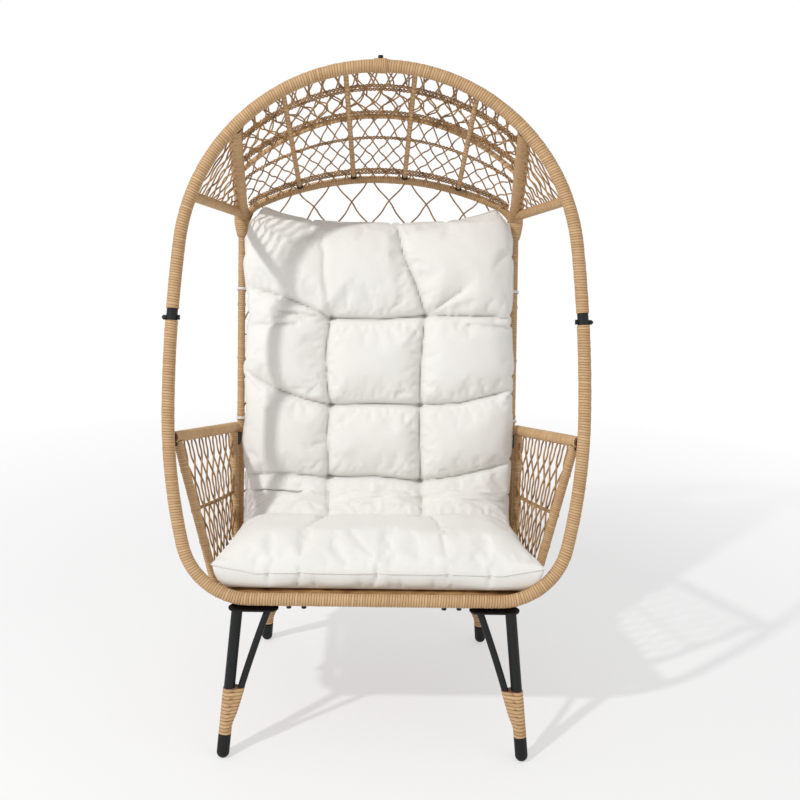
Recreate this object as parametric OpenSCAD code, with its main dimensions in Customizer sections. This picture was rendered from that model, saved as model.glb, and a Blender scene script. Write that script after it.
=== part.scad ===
// Free-standing egg chair of wicker-wrapped steel tube. A hoop leans back from a bottom bar,
// a seat frame on four splayed legs carries it, a woven back panel and a woven canopy close it
// behind and above, two arm panels stand at the sides, and one tufted cushion lies in it.
// Lengths are in millimetres. +X is to the right as one faces the chair's front,
// +Y runs to the back and +Z up. The origin is on the floor under the middle of the box.

/* [Hoop] */
// Lean of the hoop back from upright, in degrees
hoop_lean = 15; // [12:0.5:18]
// Height of the bottom bar's centre above the floor
bar_z = 355.5; // [335:0.5:390]
// Half of the hoop's greatest width, to the tube's centre
hoop_half_w = 464; // [456:1:475]
// How far up the hoop its widest point lies
widest_h = 423; // [400:1:440]
// Radius of the two bottom corners
corner_r = 156; // [140:1:170]
// Half of the bottom bar's straight length
bar_half = 277; // [265:1:290]
// Radius of the round top
top_r = 446; // [438:1:450]
// How far up the hoop the centre of its round top lies
top_h = 744; // [720:1:780]
// How far up the hoop its two halves are joined
joint_h = 632; // [600:1:650]
// Length of bare tube at each joint
bare_len = 27; // [22:1:34]

/* [Tubes] */
// Diameter of the hoop's and the seat frame's steel tube
tube_d = 25; // [22:0.5:27]
// Wall of every steel tube
tube_wall = 1.5; // [1:0.1:2]
// Thickness of the wicker wound on a large tube
wrap_t = 1.8; // [1.2:0.1:2.4]
// Diameter of the back frame's steel tube
back_tube_d = 16; // [14:0.5:18]
// Thickness of the wicker wound on the back frame
back_wrap_t = 1.3; // [1:0.1:1.8]
// Gap between a tube and what is wound or slid on it
snug = 0.2; // [0.1:0.05:0.3]
// Gap between pieces that lie against each other
clear = 0.3; // [0.2:0.05:0.5]

/* [Joints in the hoop] */
// Length of the spigot inside each hoop joint
spigot_len = 90; // [60:1:120]
// Diameter of the frame bolts
bolt_d = 6; // [5:0.5:7]
// Width of a frame bolt's head across its corners
bolt_head_d = 11.5; // [10:0.5:13]
// Height of a frame bolt's head
bolt_head_h = 5; // [4:0.5:6]
// Length of the wicker saddle on the crown
saddle_len = 28; // [20:1:36]

/* [Seat] */
// Half of the seat frame's width, to the tube's centre
seat_half_w = 346; // [338:1:352]
// How far the front rail's centre lies behind the bottom bar's
rail_back = 26; // [25:0.5:30]
// How far the rail's centre lies below the bottom bar's
rail_drop = 13; // [13:0.5:18]
// Depth of the seat frame, between the centres of its rails
seat_depth = 414; // [400:1:430]
// Radius of the seat frame's corners
seat_corner_r = 60; // [45:1:75]
// Distance of each slat from the middle
slat_x = 175; // [168:1:178]
// Width of a slat
slat_w = 50; // [46:1:54]
// Distance of a slat's bolts from its centre line
slat_bolt_off = 17; // [14:1:18]
// Thickness of a slat
slat_t = 3; // [2:0.5:4]
// Thickness of the woven deck
deck_t = 3.5; // [2.5:0.5:5]

/* [Back] */
// Lean of the back frame from upright, in degrees
back_lean = 12.5; // [11:0.5:14]
// Half of the back frame's width, to the tube's centre
back_half_w = 347; // [344:1:350]
// How far behind the front rail the uprights stand
back_foot = 390; // [384:1:394]
// Height of the back frame along its lean
back_h = 897; // [870:1:920]
// Radius of the back frame's top arc
back_top_r = 730; // [690:1:800]
// Radius of the back frame's two corners
back_corner_r = 80; // [60:1:95]

/* [Canopy] */
// Where the posts meet the hoop, in degrees from its crown
post_a = 46.5; // [44:0.5:50]
// Where the lower edge tubes meet the hoop, in degrees from its crown
edge_a = 70; // [67:0.5:73]
// Where the lower edge tubes meet the posts, as a share of the posts' length
edge_share = 0.945; // [0.9:0.005:0.95]
// Diameter of a canopy post's steel tube
post_d = 25; // [22:0.5:27]
// Thickness of the wicker wound on a post
post_wrap_t = 2.8; // [2:0.1:3.4]
// Diameter of an edge tube's steel core
edge_d = 19; // [17:0.5:21]
// Diameter of the sleeves at the foot of the posts
sleeve_d = 40; // [36:1:44]
// Length of the sleeves
sleeve_len = 67; // [55:1:75]
// Height of the sleeves' upper ends along the back frame
sleeve_top = 815; // [805:1:820]
// Diameter of the ribs and of the middle arc
rib_d = 12; // [10:0.5:14]
// Where the inner ribs meet the hoop, in degrees from its crown
inner_rib_a = 10.1; // [8:0.5:13]
// Where the outer ribs meet the hoop, in degrees from its crown
outer_rib_a = 29.2; // [26:0.5:32]
// Distance of the inner ribs' lower ends from the middle
inner_rib_x = 64; // [55:1:75]
// Distance of the outer ribs' lower ends from the middle
outer_rib_x = 200; // [185:1:215]
// Where the middle arc's crown lies, as a share of the way back
mid_share = 0.445; // [0.4:0.005:0.48]
// Where the middle arc meets the posts, as a share of the way back
mid_end_share = 0.49; // [0.44:0.005:0.52]

/* [Arms] */
// How far up the hoop the arm rails start
arm_h = 357; // [340:1:375]
// Height of the arm rails' rear ends above the seat rail
arm_rear_h = 264; // [255:1:280]
// Diameter of an arm's steel tubes
arm_tube_d = 16; // [14:0.5:18]
// Diameter of the braided arm rail
arm_rail_d = 26; // [24:0.5:28]
// Diameter of the wound arm posts
arm_post_d = 21; // [19.5:0.5:22]

/* [Legs] */
// Distance of the front legs' tops from the middle
front_top_x = 307; // [300:1:312]
// Distance of the rear legs' tops from the middle
rear_top_x = 262; // [258:1:268]
// How far a foot stands out sideways from its leg's top
splay_x = 30; // [20:1:40]
// How far a foot stands out to the front or back
splay_y = 78; // [65:1:90]
// Diameter of the braces
brace_d = 15.5; // [14:0.5:17]
// Distance between a leg's top and its brace's top
brace_span = 72; // [66:1:76]
// How far below the leg wraps' tops the braces start
brace_drop = 27; // [20:1:32]
// How far the braces bow away from the legs
brace_bow = 17; // [12:1:22]
// Height above the leg wraps at which the braces bow most
brace_bow_h = 50; // [40:1:60]
// Height of the foot caps
cap_h = 52; // [44:1:60]
// Diameter of the foot caps
cap_d = 28.5; // [28:0.5:31]
// Height of the upper end of the leg wraps
leg_wrap_top = 155; // [145:1:165]
// Thickness of the leg plates
plate_t = 3; // [2.5:0.5:4]

/* [Weave] */
// Width of a woven strand
strand_w = 3.4; // [2.6:0.2:4.2]
// Thickness of the woven panels
net_t = 3; // [2:0.5:4]

/* [Cushion] */
// Half of the cushion's width at its front edge
seat_pad_w = 377; // [365:1:380]
// Half of the cushion's width against the back
back_pad_w = 328; // [310:1:331]
// Thickness of the cushion at its crown
pad_t = 112; // [95:1:120]
// Height of the cushion's top along the back frame
pad_top = 786; // [760:1:800]
// Distance of the tufts from the middle
tuft_x = 114; // [100:1:125]
// How deep a tuft is drawn in
tuft_depth = 42; // [30:1:50]
// Depth of the creases between tufts
crease_depth = 16; // [10:1:20]
// Diameter of the cushion's tie cords
tie_d = 3.4; // [2.6:0.2:4]

/* [Hidden] */
$fn = 48;

WICKER = "#deb88c";
STRAND = "#b98a58";
STEEL = "#1e2022";
CLOTH = "#f5f4ee";

// Seams between lengths of one tube: the turn of its seam line, the gap, and the collar over it
seam_turn = 40;
seam_gap = 0.3;
seam_len = 4;
seam_t = 0.06;

// Radii
tube_r = tube_d / 2;
wrap_r = tube_r + snug + wrap_t;
back_r = back_tube_d / 2;
back_wrap_r = back_r + snug + back_wrap_t;
post_wrap_r = post_d / 2 + snug + post_wrap_t;
edge_wrap_r = edge_d / 2 + snug + wrap_t;
sleeve_r = sleeve_d / 2;
rib_r = rib_d / 2;
arm_r = arm_tube_d / 2;
arm_rail_r = arm_rail_d / 2;
arm_post_r = arm_post_d / 2;
brace_r = brace_d / 2;
cap_r = cap_d / 2;
bolt_r = bolt_d / 2;

// Hoop: a low and a high side arc join the corner, the widest point and the round top smoothly
low_k = hoop_half_w - bar_half;
low_h = widest_h - corner_r;
low_side_r = (low_k * low_k + low_h * low_h - corner_r * corner_r) / (2 * (low_k - corner_r));
low_a = asin(low_h / (low_side_r - corner_r));
high_h = top_h - widest_h;
high_side_r = (hoop_half_w * hoop_half_w + high_h * high_h - top_r * top_r)
    / (2 * (hoop_half_w - top_r));
high_a = asin(high_h / (high_side_r - top_r));

// Levels of the seat
rail_z = bar_z - rail_drop;
rail_top = rail_z + wrap_r;
plate_top = rail_z - wrap_r - clear;
plate_low = plate_top - plate_t;
slat_z = rail_top + clear;
deck_z = slat_z + slat_t + clear;
deck_top = deck_z + deck_t;
front_y = rail_back;
rear_y = rail_back + seat_depth;
back_foot_y = front_y + back_foot;

// Back frame: the top arc's centre and the corners' centres, along the lean
back_arc_c = back_h - back_top_r;
back_corner_x = back_half_w - back_corner_r;
back_corner_h = back_arc_c
    + sqrt(pow(back_top_r - back_corner_r, 2) - pow(back_corner_x, 2));
back_corner_a = atan2(back_corner_h - back_arc_c, back_corner_x);

// Legs: how far each leg's top stands before its rail, at the front and at the rear, how much of a
// cap's round foot is cut flat, and the leg's axis from its top down to the floor
leg_off = [16, 6];
cap_flat = 2;
// How far a plate stands out round a leg, a brace's top stands in from its leg's and the wraps reach
// past the braces, and the size of the blocks that trim the legs level
plate_rim = 8;
brace_in = 4;
wrap_side_out = 5.4;
trim_size = 400;
leg_axis = unit([splay_x, -splay_y, -plate_low]);
foot_at = [splay_x, -splay_y, 0];
function leg_at(z) = foot_at - leg_axis * (z / -leg_axis[2]);
function rail_off(end) = end > 0 ? leg_off[0] : -leg_off[1];
function leg_top_y(end) = end > 0 ? front_y - leg_off[0] : rear_y - leg_off[1];

// The whole chair is centred on its box
front_out = leg_top_y(1) + leg_at(cap_r - cap_flat)[1] - cap_r;
back_out = back_foot_y + back_h * sin(back_lean) + back_wrap_r;
mid_y = (front_out + back_out) / 2;

// ---------- points and directions ----------
function unit(v) = v / norm(v);
function along(a, b, d) = a + d * unit(b - a);
function mixed(a, b, t) = a + t * (b - a);
function flip(p) = [-p[0], p[1], p[2]];
function inset(p, q, axis, gap) = along(p, q, gap / norm(cross(unit(q - p), unit(axis))));
function at_height(a, b, z) = mixed(a, b, (z - a[2]) / (b[2] - a[2]));
function on_hoop(x, s) = [x, s * sin(hoop_lean), bar_z + s * cos(hoop_lean)];
function on_back(x, s) = [x, back_foot_y + s * sin(back_lean), rail_top + s * cos(back_lean)];
function on_crown(a) = on_hoop(top_r * sin(a), top_h + top_r * cos(a));
function hoop_x(s) = s < widest_h
    ? hoop_half_w - low_side_r + sqrt(low_side_r * low_side_r - pow(s - widest_h, 2))
    : hoop_half_w - high_side_r + sqrt(high_side_r * high_side_r - pow(s - widest_h, 2));
function on_rear_arc(x) = on_back(x, back_arc_c + sqrt(back_top_r * back_top_r - x * x));
function circle_centre(p, q, r) = let (a = q - p, b = r - p, n = cross(a, b))
    p + cross((a * a) * b - (b * b) * a, n) / (2 * (n * n));

// Points that pieces share, on the side of positive X
post_hi = on_crown(post_a);
post_lo = on_back(back_half_w, sleeve_top - sleeve_len / 3.5);
edge_hi = on_crown(edge_a);
edge_lo = mixed(post_hi, post_lo, edge_share);
rib_hi = [on_crown(inner_rib_a), on_crown(outer_rib_a)];
rib_lo = [on_rear_arc(inner_rib_x), on_rear_arc(outer_rib_x)];
crown_line = on_rear_arc(0) - on_crown(0);
canopy_up = unit(cross([1, 0, 0], crown_line));
mid_lift = rib_d + clear;
mid_top = mixed(on_crown(0), on_rear_arc(0), mid_share) + mid_lift * canopy_up;
mid_end = mixed(post_hi, post_lo, mid_end_share);

// Arms: the rail runs from the hoop's side to beside the upright, and its posts stand on the outer
// side of the seat frame
arm_in = 4;
arm_out = 11;
arm_before = 26;
arm_foot_out = [24, 11];
arm_foot_in = [84, 44];
arm_post_gap = 8;
arm_front = on_hoop(hoop_x(arm_h) - arm_in, arm_h);
arm_rear = on_back(back_half_w + arm_out, arm_rear_h / cos(back_lean)) - [0, arm_before, 0];
arm_front_foot = [seat_half_w + arm_foot_out[0], front_y + arm_foot_in[0], rail_z];
arm_rear_foot = [seat_half_w + arm_foot_out[1], rear_y - arm_foot_in[1], rail_z];
arm_front_top = along(arm_front, arm_rear, wrap_r + arm_post_r + arm_post_gap);
arm_rear_top = along(arm_rear, arm_front, arm_post_r + 2);

// ---------- building blocks ----------
// Children drawn about +Z are stood at a point, on three axes
module on_axes(o, x, y, z) {
    multmatrix([[x[0], y[0], z[0], o[0]], [x[1], y[1], z[1], o[1]],
        [x[2], y[2], z[2], o[2]], [0, 0, 0, 1]]) children();
}

// A round bar from a to b, hollow where it has an inner radius
module bar(a, b, r, inner = 0) {
    z = unit(b - a);
    x = unit(cross(abs(z[2]) < 0.9 ? [0, 0, 1] : [1, 0, 0], z));
    on_axes(a, x, cross(z, x), z) linear_extrude(norm(b - a)) ring(r, inner);
}

module ring(r, inner) {
    rotate(seam_turn) difference() {
        circle(r);
        if (inner > 0) circle(inner);
    }
}

// A bent round bar in the XY plane, from one angle to another
module bend(c, bend_r, from_a, to_a, r, inner = 0) {
    translate(c) rotate([0, 0, from_a]) rotate_extrude(angle = to_a - from_a, $fn = 120)
        translate([bend_r, 0]) ring(r, inner);
}

// A bend that stops just short of its ends, where a collar joins it to the next length of tube
module run_bend(c, bend_r, from_a, to_a, r, inner) {
    short = seam_gap / bend_r * 180 / PI;
    bend(c, bend_r, from_a + short, to_a - short, r, inner);
}

// The collar round a seam in a tube, at an angle of a bend
module seam(c, bend_r, a, r, inner) {
    translate(c) rotate([0, 0, a]) translate([bend_r, seam_len / 2, 0]) rotate([90, 0, 0])
        linear_extrude(seam_len) ring(r + seam_t, inner > 0 ? inner - seam_t : 0);
}

// A bent round bar through three points
module arc_bar(p, q, s, r, inner = 0) {
    c = circle_centre(p, q, s);
    x = unit(p - c);
    z = unit(cross(p - c, q - c));
    y = cross(z, x);
    turn = atan2((s - c) * y, (s - c) * x);
    on_axes(c, x, y, z) bend([0, 0, 0], norm(p - c), 0, turn < 0 ? turn + 360 : turn, r, inner);
}

module hoop_plane() {
    translate([0, 0, bar_z]) rotate([90 - hoop_lean, 0, 0]) children();
}

module back_plane() {
    translate([0, back_foot_y, rail_top]) rotate([90 - back_lean, 0, 0]) children();
}

module both_sides() {
    children();
    mirror([1, 0, 0]) children();
}

module on_side(side) {
    if (side > 0) children();
    else mirror([1, 0, 0]) children();
}

module centred() {
    translate([0, -mid_y, 0]) children();
}

// A hexagon bolt from its head's seat, up along +Z
module hex_bolt(shank) {
    translate([0, 0, -bolt_head_h]) cylinder(h = bolt_head_h, d = bolt_head_d, $fn = 6);
    cylinder(h = shank, r = bolt_r);
}

// A woven panel in the quadrilateral p00, p10, p11, p01: a diamond lattice with cols by rows steps
module woven_panel(p00, p10, p11, p01, cols, rows) {
    mid = (p00 + p10 + p11 + p01) / 4;
    x = unit(p10 + p11 - p00 - p01);
    z = unit(cross(x, p01 + p11 - p00 - p10));
    y = cross(z, x);
    flat = [for (p = [p00, p10, p11, p01]) [(p - mid) * x, (p - mid) * y]];
    on_axes(mid, x, y, z) lattice(cols, rows,
        function (u, v) mixed(mixed(flat[0], flat[1], u), mixed(flat[3], flat[2], u), v));
}

// A flat lattice of diamond gaps over the area that place(u, v) maps from the unit square
module lattice(cols, rows, place) {
    rim = concat([for (i = [0:cols - 1]) place(i / cols, 0)],
        [for (j = [0:rows - 1]) place(1, j / rows)],
        [for (i = [cols:-1:1]) place(i / cols, 1)],
        [for (j = [rows:-1:1]) place(0, j / rows)]);
    gaps = [for (i = [0:cols], j = [0:rows]) if ((i + j) % 2 == 1)
        gap_outline(i, j, cols, rows, place)];
    linear_extrude(net_t, center = true) difference() {
        polygon(rim);
        for (gap = gaps) polygon(gap);
    }
}

// One diamond gap, cut in half where its centre lies on the rim, drawn in for the strands
function gap_outline(i, j, cols, rows, place) =
    let (corners = [if (i > 0) [i - 1, j], if (j > 0) [i, j - 1], if (i < cols) [i + 1, j],
            if (j < rows) [i, j + 1]],
        points = [for (c = corners) place(c[0] / cols, c[1] / rows)],
        n = len(points),
        mid = [for (k = [0:n - 1]) 1 / n] * points,
        reach = min([for (k = [0:n - 1]) edge_distance(mid, points[k], points[(k + 1) % n])]),
        share = 1 - strand_w / 2 / reach)
    [for (p = points) mixed(mid, p, share)];
function edge_distance(p, a, b) = abs(cross(p - a, unit(b - a)));

// ---------- hoop ----------
high_c = [hoop_half_w - high_side_r, widest_h];
low_c = [hoop_half_w - low_side_r, widest_h];
function high_at(s) = asin((s - widest_h) / high_side_r);

module hoop_arc(from_s, to_s, r, inner) {
    bend(high_c, high_side_r, high_at(from_s), high_at(to_s), r, inner);
}

module lower_hoop_run(end_s, r, inner = 0) {
    hoop_plane() {
        translate([-bar_half, 0, 0]) rotate([0, 90, 0]) linear_extrude(2 * bar_half) ring(r, inner);
        both_sides() {
            run_bend([bar_half, corner_r], corner_r, -90, -low_a, r, inner);
            seam([bar_half, corner_r], corner_r, -90, r, inner);
            run_bend(low_c, low_side_r, -low_a, 0, r, inner);
            seam([bar_half, corner_r], corner_r, -low_a, r, inner);
            bend(high_c, high_side_r, high_at(widest_h + seam_gap), high_at(end_s), r, inner);
            seam(high_c, high_side_r, 0, r, inner);
        }
    }
}

module upper_hoop_run(start_s, r, inner = 0) {
    hoop_plane() {
        run_bend([0, top_h], top_r, high_a, 180 - high_a, r, inner);
        both_sides() {
            bend(high_c, high_side_r, high_at(start_s),
                high_a - seam_gap / high_side_r * 180 / PI, r, inner);
            seam([0, top_h], top_r, high_a, r, inner);
        }
    }
}

// The hole of a hoop joint's bolt, along X, below the joint
module joint_bolt_space(r) {
    both_sides() bar(joint_bolt_at(-wrap_r - 20), joint_bolt_at(wrap_r + 20), r);
}

joint_bolt_h = joint_h - bare_len / 4;
function joint_bolt_at(off) = on_hoop(hoop_x(joint_bolt_h) + off, joint_bolt_h);

// The hole of the crown bolt, through the tube's upper wall alone
module crown_bolt_space(r) {
    bar(on_hoop(0, top_h + top_r), on_hoop(0, top_h + top_r + wrap_r + 20), r);
}

module lower_hoop() {
    color(STEEL) centred() difference() {
        lower_hoop_run(joint_h, tube_r, tube_r - tube_wall);
        joint_bolt_space(bolt_r + snug);
    }
}

module lower_hoop_wrap() {
    color(WICKER) centred() lower_hoop_run(joint_h - bare_len / 2, wrap_r, tube_r + snug);
}

module upper_hoop() {
    color(STEEL) centred() difference() {
        upper_hoop_run(joint_h, tube_r, tube_r - tube_wall);
        crown_bolt_space(bolt_r + snug);
    }
}

module upper_hoop_wrap() {
    color(WICKER) centred() difference() {
        upper_hoop_run(joint_h + bare_len / 2, wrap_r, tube_r + snug);
        crown_bolt_space(bolt_r + snug);
    }
}

module hoop_spigots() {
    spigot_r = tube_r - tube_wall - snug;
    color(STEEL) centred() difference() {
        hoop_plane() both_sides()
            hoop_arc(joint_h - spigot_len / 2, joint_h + spigot_len / 2, spigot_r,
                spigot_r - tube_wall);
        joint_bolt_space(bolt_r + snug);
    }
}

// Bolts from the inner side of each joint outwards
module hoop_bolts() {
    color(STEEL) centred() both_sides() {
        bar(joint_bolt_at(-tube_r - snug), joint_bolt_at(tube_r + 5), bolt_r);
        on_axes(joint_bolt_at(-tube_r - snug), [0, 0, 1], [0, 1, 0], [-1, 0, 0])
            cylinder(h = bolt_head_h, d = bolt_head_d, $fn = 6);
    }
}

// Domed nuts on the outer side of each joint
module hoop_nuts() {
    nut_h = 6;
    color(STEEL) centred() both_sides()
        on_axes(joint_bolt_at(tube_r + snug), [0, 1, 0], [0, 0, 1], [1, 0, 0]) difference() {
            union() {
                cylinder(h = nut_h, d = bolt_head_d, $fn = 6);
                translate([0, 0, nut_h - 1]) sphere(r = bolt_head_d / 2 - 1);
            }
            translate([0, 0, -nut_h]) cylinder(h = 2 * nut_h, r = bolt_r + snug);
        }
}

// A raised winding on the crown, under the crown bolt's head. It is straight, so it clears the
// bend by the bend's rise over its length.
saddle_rise = saddle_len * saddle_len / 8 / top_r;
saddle_in = wrap_r + snug + saddle_rise / 2;
saddle_h = top_h + top_r - saddle_rise / 2;
module crown_saddle() {
    color(WICKER) centred() difference() {
        bar(on_hoop(-saddle_len / 2, saddle_h), on_hoop(saddle_len / 2, saddle_h),
            saddle_in + wrap_t, saddle_in);
        crown_bolt_space(bolt_r + snug);
    }
}

module crown_bolt() {
    head_s = saddle_h + saddle_in + wrap_t + snug;
    color(STEEL) centred() {
        bar(on_hoop(0, top_h + top_r + bolt_r), on_hoop(0, head_s), bolt_r);
        bar(on_hoop(0, head_s), on_hoop(0, head_s + bolt_head_h + 1), bolt_head_d / 2);
    }
}

// ---------- seat ----------
module seat_frame_run(r, inner = 0) {
    x = seat_half_w - seat_corner_r;
    y_front = front_y + seat_corner_r;
    y_rear = rear_y - seat_corner_r;
    translate([0, 0, rail_z]) {
        for (y = [front_y, rear_y])
            translate([-x, y, 0]) rotate([0, 90, 0]) linear_extrude(2 * x) ring(r, inner);
        both_sides() {
            translate([seat_half_w, y_rear, 0]) rotate([90, 0, 0])
                linear_extrude(y_rear - y_front) ring(r, inner);
            bend([x, y_front], seat_corner_r, -90, 0, r, inner);
            bend([x, y_rear], seat_corner_r, 0, 90, r, inner);
        }
    }
}

// Every upright bolt under the seat: its place and the level of its head's seat
slat_bolts = [for (side = [-1, 1]) each [
    [side * (slat_x - slat_bolt_off), front_y], [side * (slat_x + slat_bolt_off), front_y],
    [side * (slat_x - slat_bolt_off), rear_y]]];
plate_bolt_off = [24, 49];
plate_bolts = [for (side = [-1, 1], leg = [[front_top_x, front_y], [rear_top_x, rear_y]],
    off = plate_bolt_off) [side * (leg[0] - off), leg[1]]];

module seat_bolt_spaces(r) {
    for (p = concat(slat_bolts, plate_bolts))
        translate([p[0], p[1], rail_z - wrap_r - 10]) cylinder(h = wrap_r + 10, r = r);
    for (p = slat_bolts) translate([p[0], p[1], rail_z - 1]) cylinder(h = wrap_r + 20, r = r);
}

module seat_frame() {
    color(STEEL) centred() difference() {
        seat_frame_run(tube_r, tube_r - tube_wall);
        seat_bolt_spaces(bolt_r + snug);
    }
}

module seat_frame_wrap() {
    color(WICKER) centred() difference() {
        seat_frame_run(wrap_r, tube_r + snug);
        seat_bolt_spaces(bolt_r + snug);
    }
}

module seat_slats() {
    slat_front = wrap_r + 1.5;
    color(STEEL) centred() difference() {
        both_sides() translate([slat_x - slat_w / 2, slat_front, slat_z])
            cube([slat_w, rear_y + wrap_r - slat_front, slat_t]);
        seat_bolt_spaces(bolt_r + snug);
    }
}

module seat_deck() {
    deck_half_w = back_half_w - back_wrap_r - 3;
    deck_front = wrap_r + 2.5;
    color(STRAND) centred() translate([-deck_half_w, deck_front, deck_z])
        cube([2 * deck_half_w, rear_y - 12 - deck_front, deck_t]);
}

module seat_bolts() {
    color(STEEL) centred() {
        for (p = slat_bolts) translate([p[0], p[1], rail_z - wrap_r - snug])
            hex_bolt(slat_z + slat_t - (rail_z - wrap_r - snug));
        for (p = plate_bolts) translate([p[0], p[1], plate_low - snug]) hex_bolt(wrap_r + plate_t);
    }
}

// ---------- back ----------
module back_frame_run(r, inner = 0) {
    back_plane() {
        run_bend([0, back_arc_c], back_top_r, back_corner_a, 180 - back_corner_a, r, inner);
        both_sides() {
            translate([back_half_w, clear, 0]) rotate([-90, 0, 0])
                linear_extrude(back_corner_h - clear - seam_gap) ring(r, inner);
            seam([back_corner_x, back_corner_h], back_corner_r, 0, r, inner);
            run_bend([back_corner_x, back_corner_h], back_corner_r, 0, back_corner_a, r, inner);
            seam([back_corner_x, back_corner_h], back_corner_r, back_corner_a, r, inner);
        }
    }
}

module back_frame() {
    color(STEEL) centred() back_frame_run(back_r, back_r - tube_wall);
}

module back_frame_wrap() {
    color(WICKER) centred() back_frame_run(back_wrap_r, back_r + snug);
}

// The net's upper edge follows the top arc and the corners
net_gap = back_wrap_r + clear;
function net_top(x) = abs(x) < (back_top_r - net_gap) * cos(back_corner_a)
    ? back_arc_c + sqrt(pow(back_top_r - net_gap, 2) - x * x)
    : back_corner_h + sqrt(max(0, pow(back_corner_r - net_gap, 2) - pow(abs(x) - back_corner_x, 2)));

net_low = slat_t + deck_t + 4;
net_rows = 14;
module back_net() {
    half = back_half_w - net_gap;
    color(STRAND) centred() difference() {
        back_plane() lattice(14, net_rows,
            function (u, v) let (x = mixed(-half, half, u)) [x, mixed(net_low, net_top(x), v)]);
        both_sides() {
            sleeve_space(sleeve_r + clear);
            tie_rings(tie_d / 2 + clear);
        }
    }
}

// ---------- canopy ----------
module hoop_space() {
    hoop_plane() bend([0, top_h], top_r, 0, 180, wrap_r + clear);
}

module rear_arc_space() {
    back_plane()
        bend([0, back_arc_c], back_top_r, back_corner_a, 180 - back_corner_a, back_wrap_r + clear);
}

module sleeve_space(r) {
    bar(on_back(back_half_w, sleeve_top - sleeve_len), on_back(back_half_w, sleeve_top), r);
}

// The back frame's bent tube, where the sleeve takes it in
module back_corner_space(r) {
    back_plane() bend([back_corner_x, back_corner_h], back_corner_r, 0, back_corner_a, r);
    bar(on_back(back_half_w, back_corner_h - 100), on_back(back_half_w, back_corner_h), r);
}

module post_run(r, inner = 0) {
    difference() {
        bar(along(post_hi, post_lo, wrap_r / 2), post_lo, r, inner);
        hoop_space();
        sleeve_space(sleeve_r + clear);
    }
}

module edge_run(r, inner = 0) {
    difference() {
        bar(along(edge_hi, edge_lo, wrap_r / 3), edge_lo, r, inner);
        hoop_space();
        bar(post_hi, post_lo, post_wrap_r + clear);
        sleeve_space(sleeve_r + clear);
    }
}

module canopy_post(side) {
    color(STEEL) centred() on_side(side) post_run(post_d / 2, post_d / 2 - tube_wall);
}

module canopy_edge(side) {
    color(STEEL) centred() on_side(side) edge_run(edge_d / 2, edge_d / 2 - tube_wall);
}

module canopy_wraps() {
    color(WICKER) centred() both_sides() {
        post_run(post_wrap_r, post_d / 2 + snug);
        edge_run(edge_wrap_r, edge_d / 2 + snug);
    }
}

module canopy_sleeves() {
    color(WICKER) centred() both_sides() difference() {
        sleeve_space(sleeve_r);
        back_corner_space(back_wrap_r + clear);
    }
}

module canopy_mid_arc() {
    color(WICKER) centred() difference() {
        arc_bar(mid_end, mid_top, flip(mid_end), rib_r);
        both_sides() {
            bar(post_hi, post_lo, post_wrap_r + clear);
            for (k = [0, 1]) bar(rib_hi[k], rib_lo[k], rib_r + clear);
        }
    }
}

// Ribs count from the left: outer, inner, inner, outer
module rib(which, side) {
    color(WICKER) centred() on_side(side) difference() {
        bar(along(rib_hi[which], rib_lo[which], wrap_r / 2),
            along(rib_lo[which], rib_hi[which], back_wrap_r / 2), rib_r);
        hoop_space();
        rear_arc_space();
    }
}

// Clips where the ribs meet the rear arc
module rib_clips() {
    clip_t = 1.5;
    clip_w = 7;
    color(STEEL) centred() both_sides() for (k = [0, 1]) {
        foot = along(rib_lo[k], rib_hi[k], back_wrap_r + clear + 3);
        difference() {
            bar(foot, along(foot, rib_hi[k], clip_w), rib_r + snug + clip_t, rib_r + snug);
            rear_arc_space();
        }
    }
}

// The lines that bound the canopy's bays, from the middle outwards: inner rib, outer rib, post
bay_hi = [rib_hi[0], rib_hi[1], post_hi];
bay_lo = [rib_lo[0], rib_lo[1], post_lo];
bay_gap = [rib_r + clear, rib_r + clear, post_wrap_r + clear];

// A point on bay line k, at a share of its length, drawn in towards the line beside it
function bay_point(k, other, share) = let (p = mixed(bay_hi[k], bay_lo[k], share),
        q = mixed(bay_hi[other], bay_lo[other], share))
    inset(p, q, bay_lo[k] - bay_hi[k], bay_gap[k] + 0.5);

module bay_net(k, from, to) {
    woven_panel(bay_point(k, k + 1, from[k]), bay_point(k + 1, k, from[k + 1]),
        bay_point(k + 1, k, to[k + 1]), bay_point(k, k + 1, to[k]), 4, 4);
}

module middle_bay_net(from, to) {
    a = mixed(bay_hi[0], bay_lo[0], from[0]) - [bay_gap[0] + 0.5, 0, 0];
    b = mixed(bay_hi[0], bay_lo[0], to[0]) - [bay_gap[0] + 0.5, 0, 0];
    woven_panel(flip(a), a, b, flip(b), 4, 4);
}

// The shares at which the nets stop: at the hoop, before and behind the middle arc, at the rear arc
mid_normal = unit(cross(mid_end - mid_top, flip(mid_end) - mid_top));
mid_cross = [for (k = [0:2])
    ((mid_top - bay_hi[k]) * mid_normal) / ((bay_lo[k] - bay_hi[k]) * mid_normal)];
crown_len = norm(crown_line);
hoop_shares = [1, 1, 1] * (wrap_r + 9) / crown_len;
mid_band = [1, 1, 1] * (rib_r + 2) / crown_len;
arc_shares = [1, 1, 1] * (1 - (back_wrap_r + 17) / crown_len);

module canopy_net_row(from, to) {
    middle_bay_net(from, to);
    both_sides() {
        bay_net(0, from, to);
        bay_net(1, from, to);
    }
}

module canopy_front_net() {
    color(STRAND) centred() canopy_net_row(hoop_shares, mid_cross - mid_band);
}

module canopy_rear_net() {
    color(STRAND) centred() canopy_net_row(mid_cross + mid_band, arc_shares);
}

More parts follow.
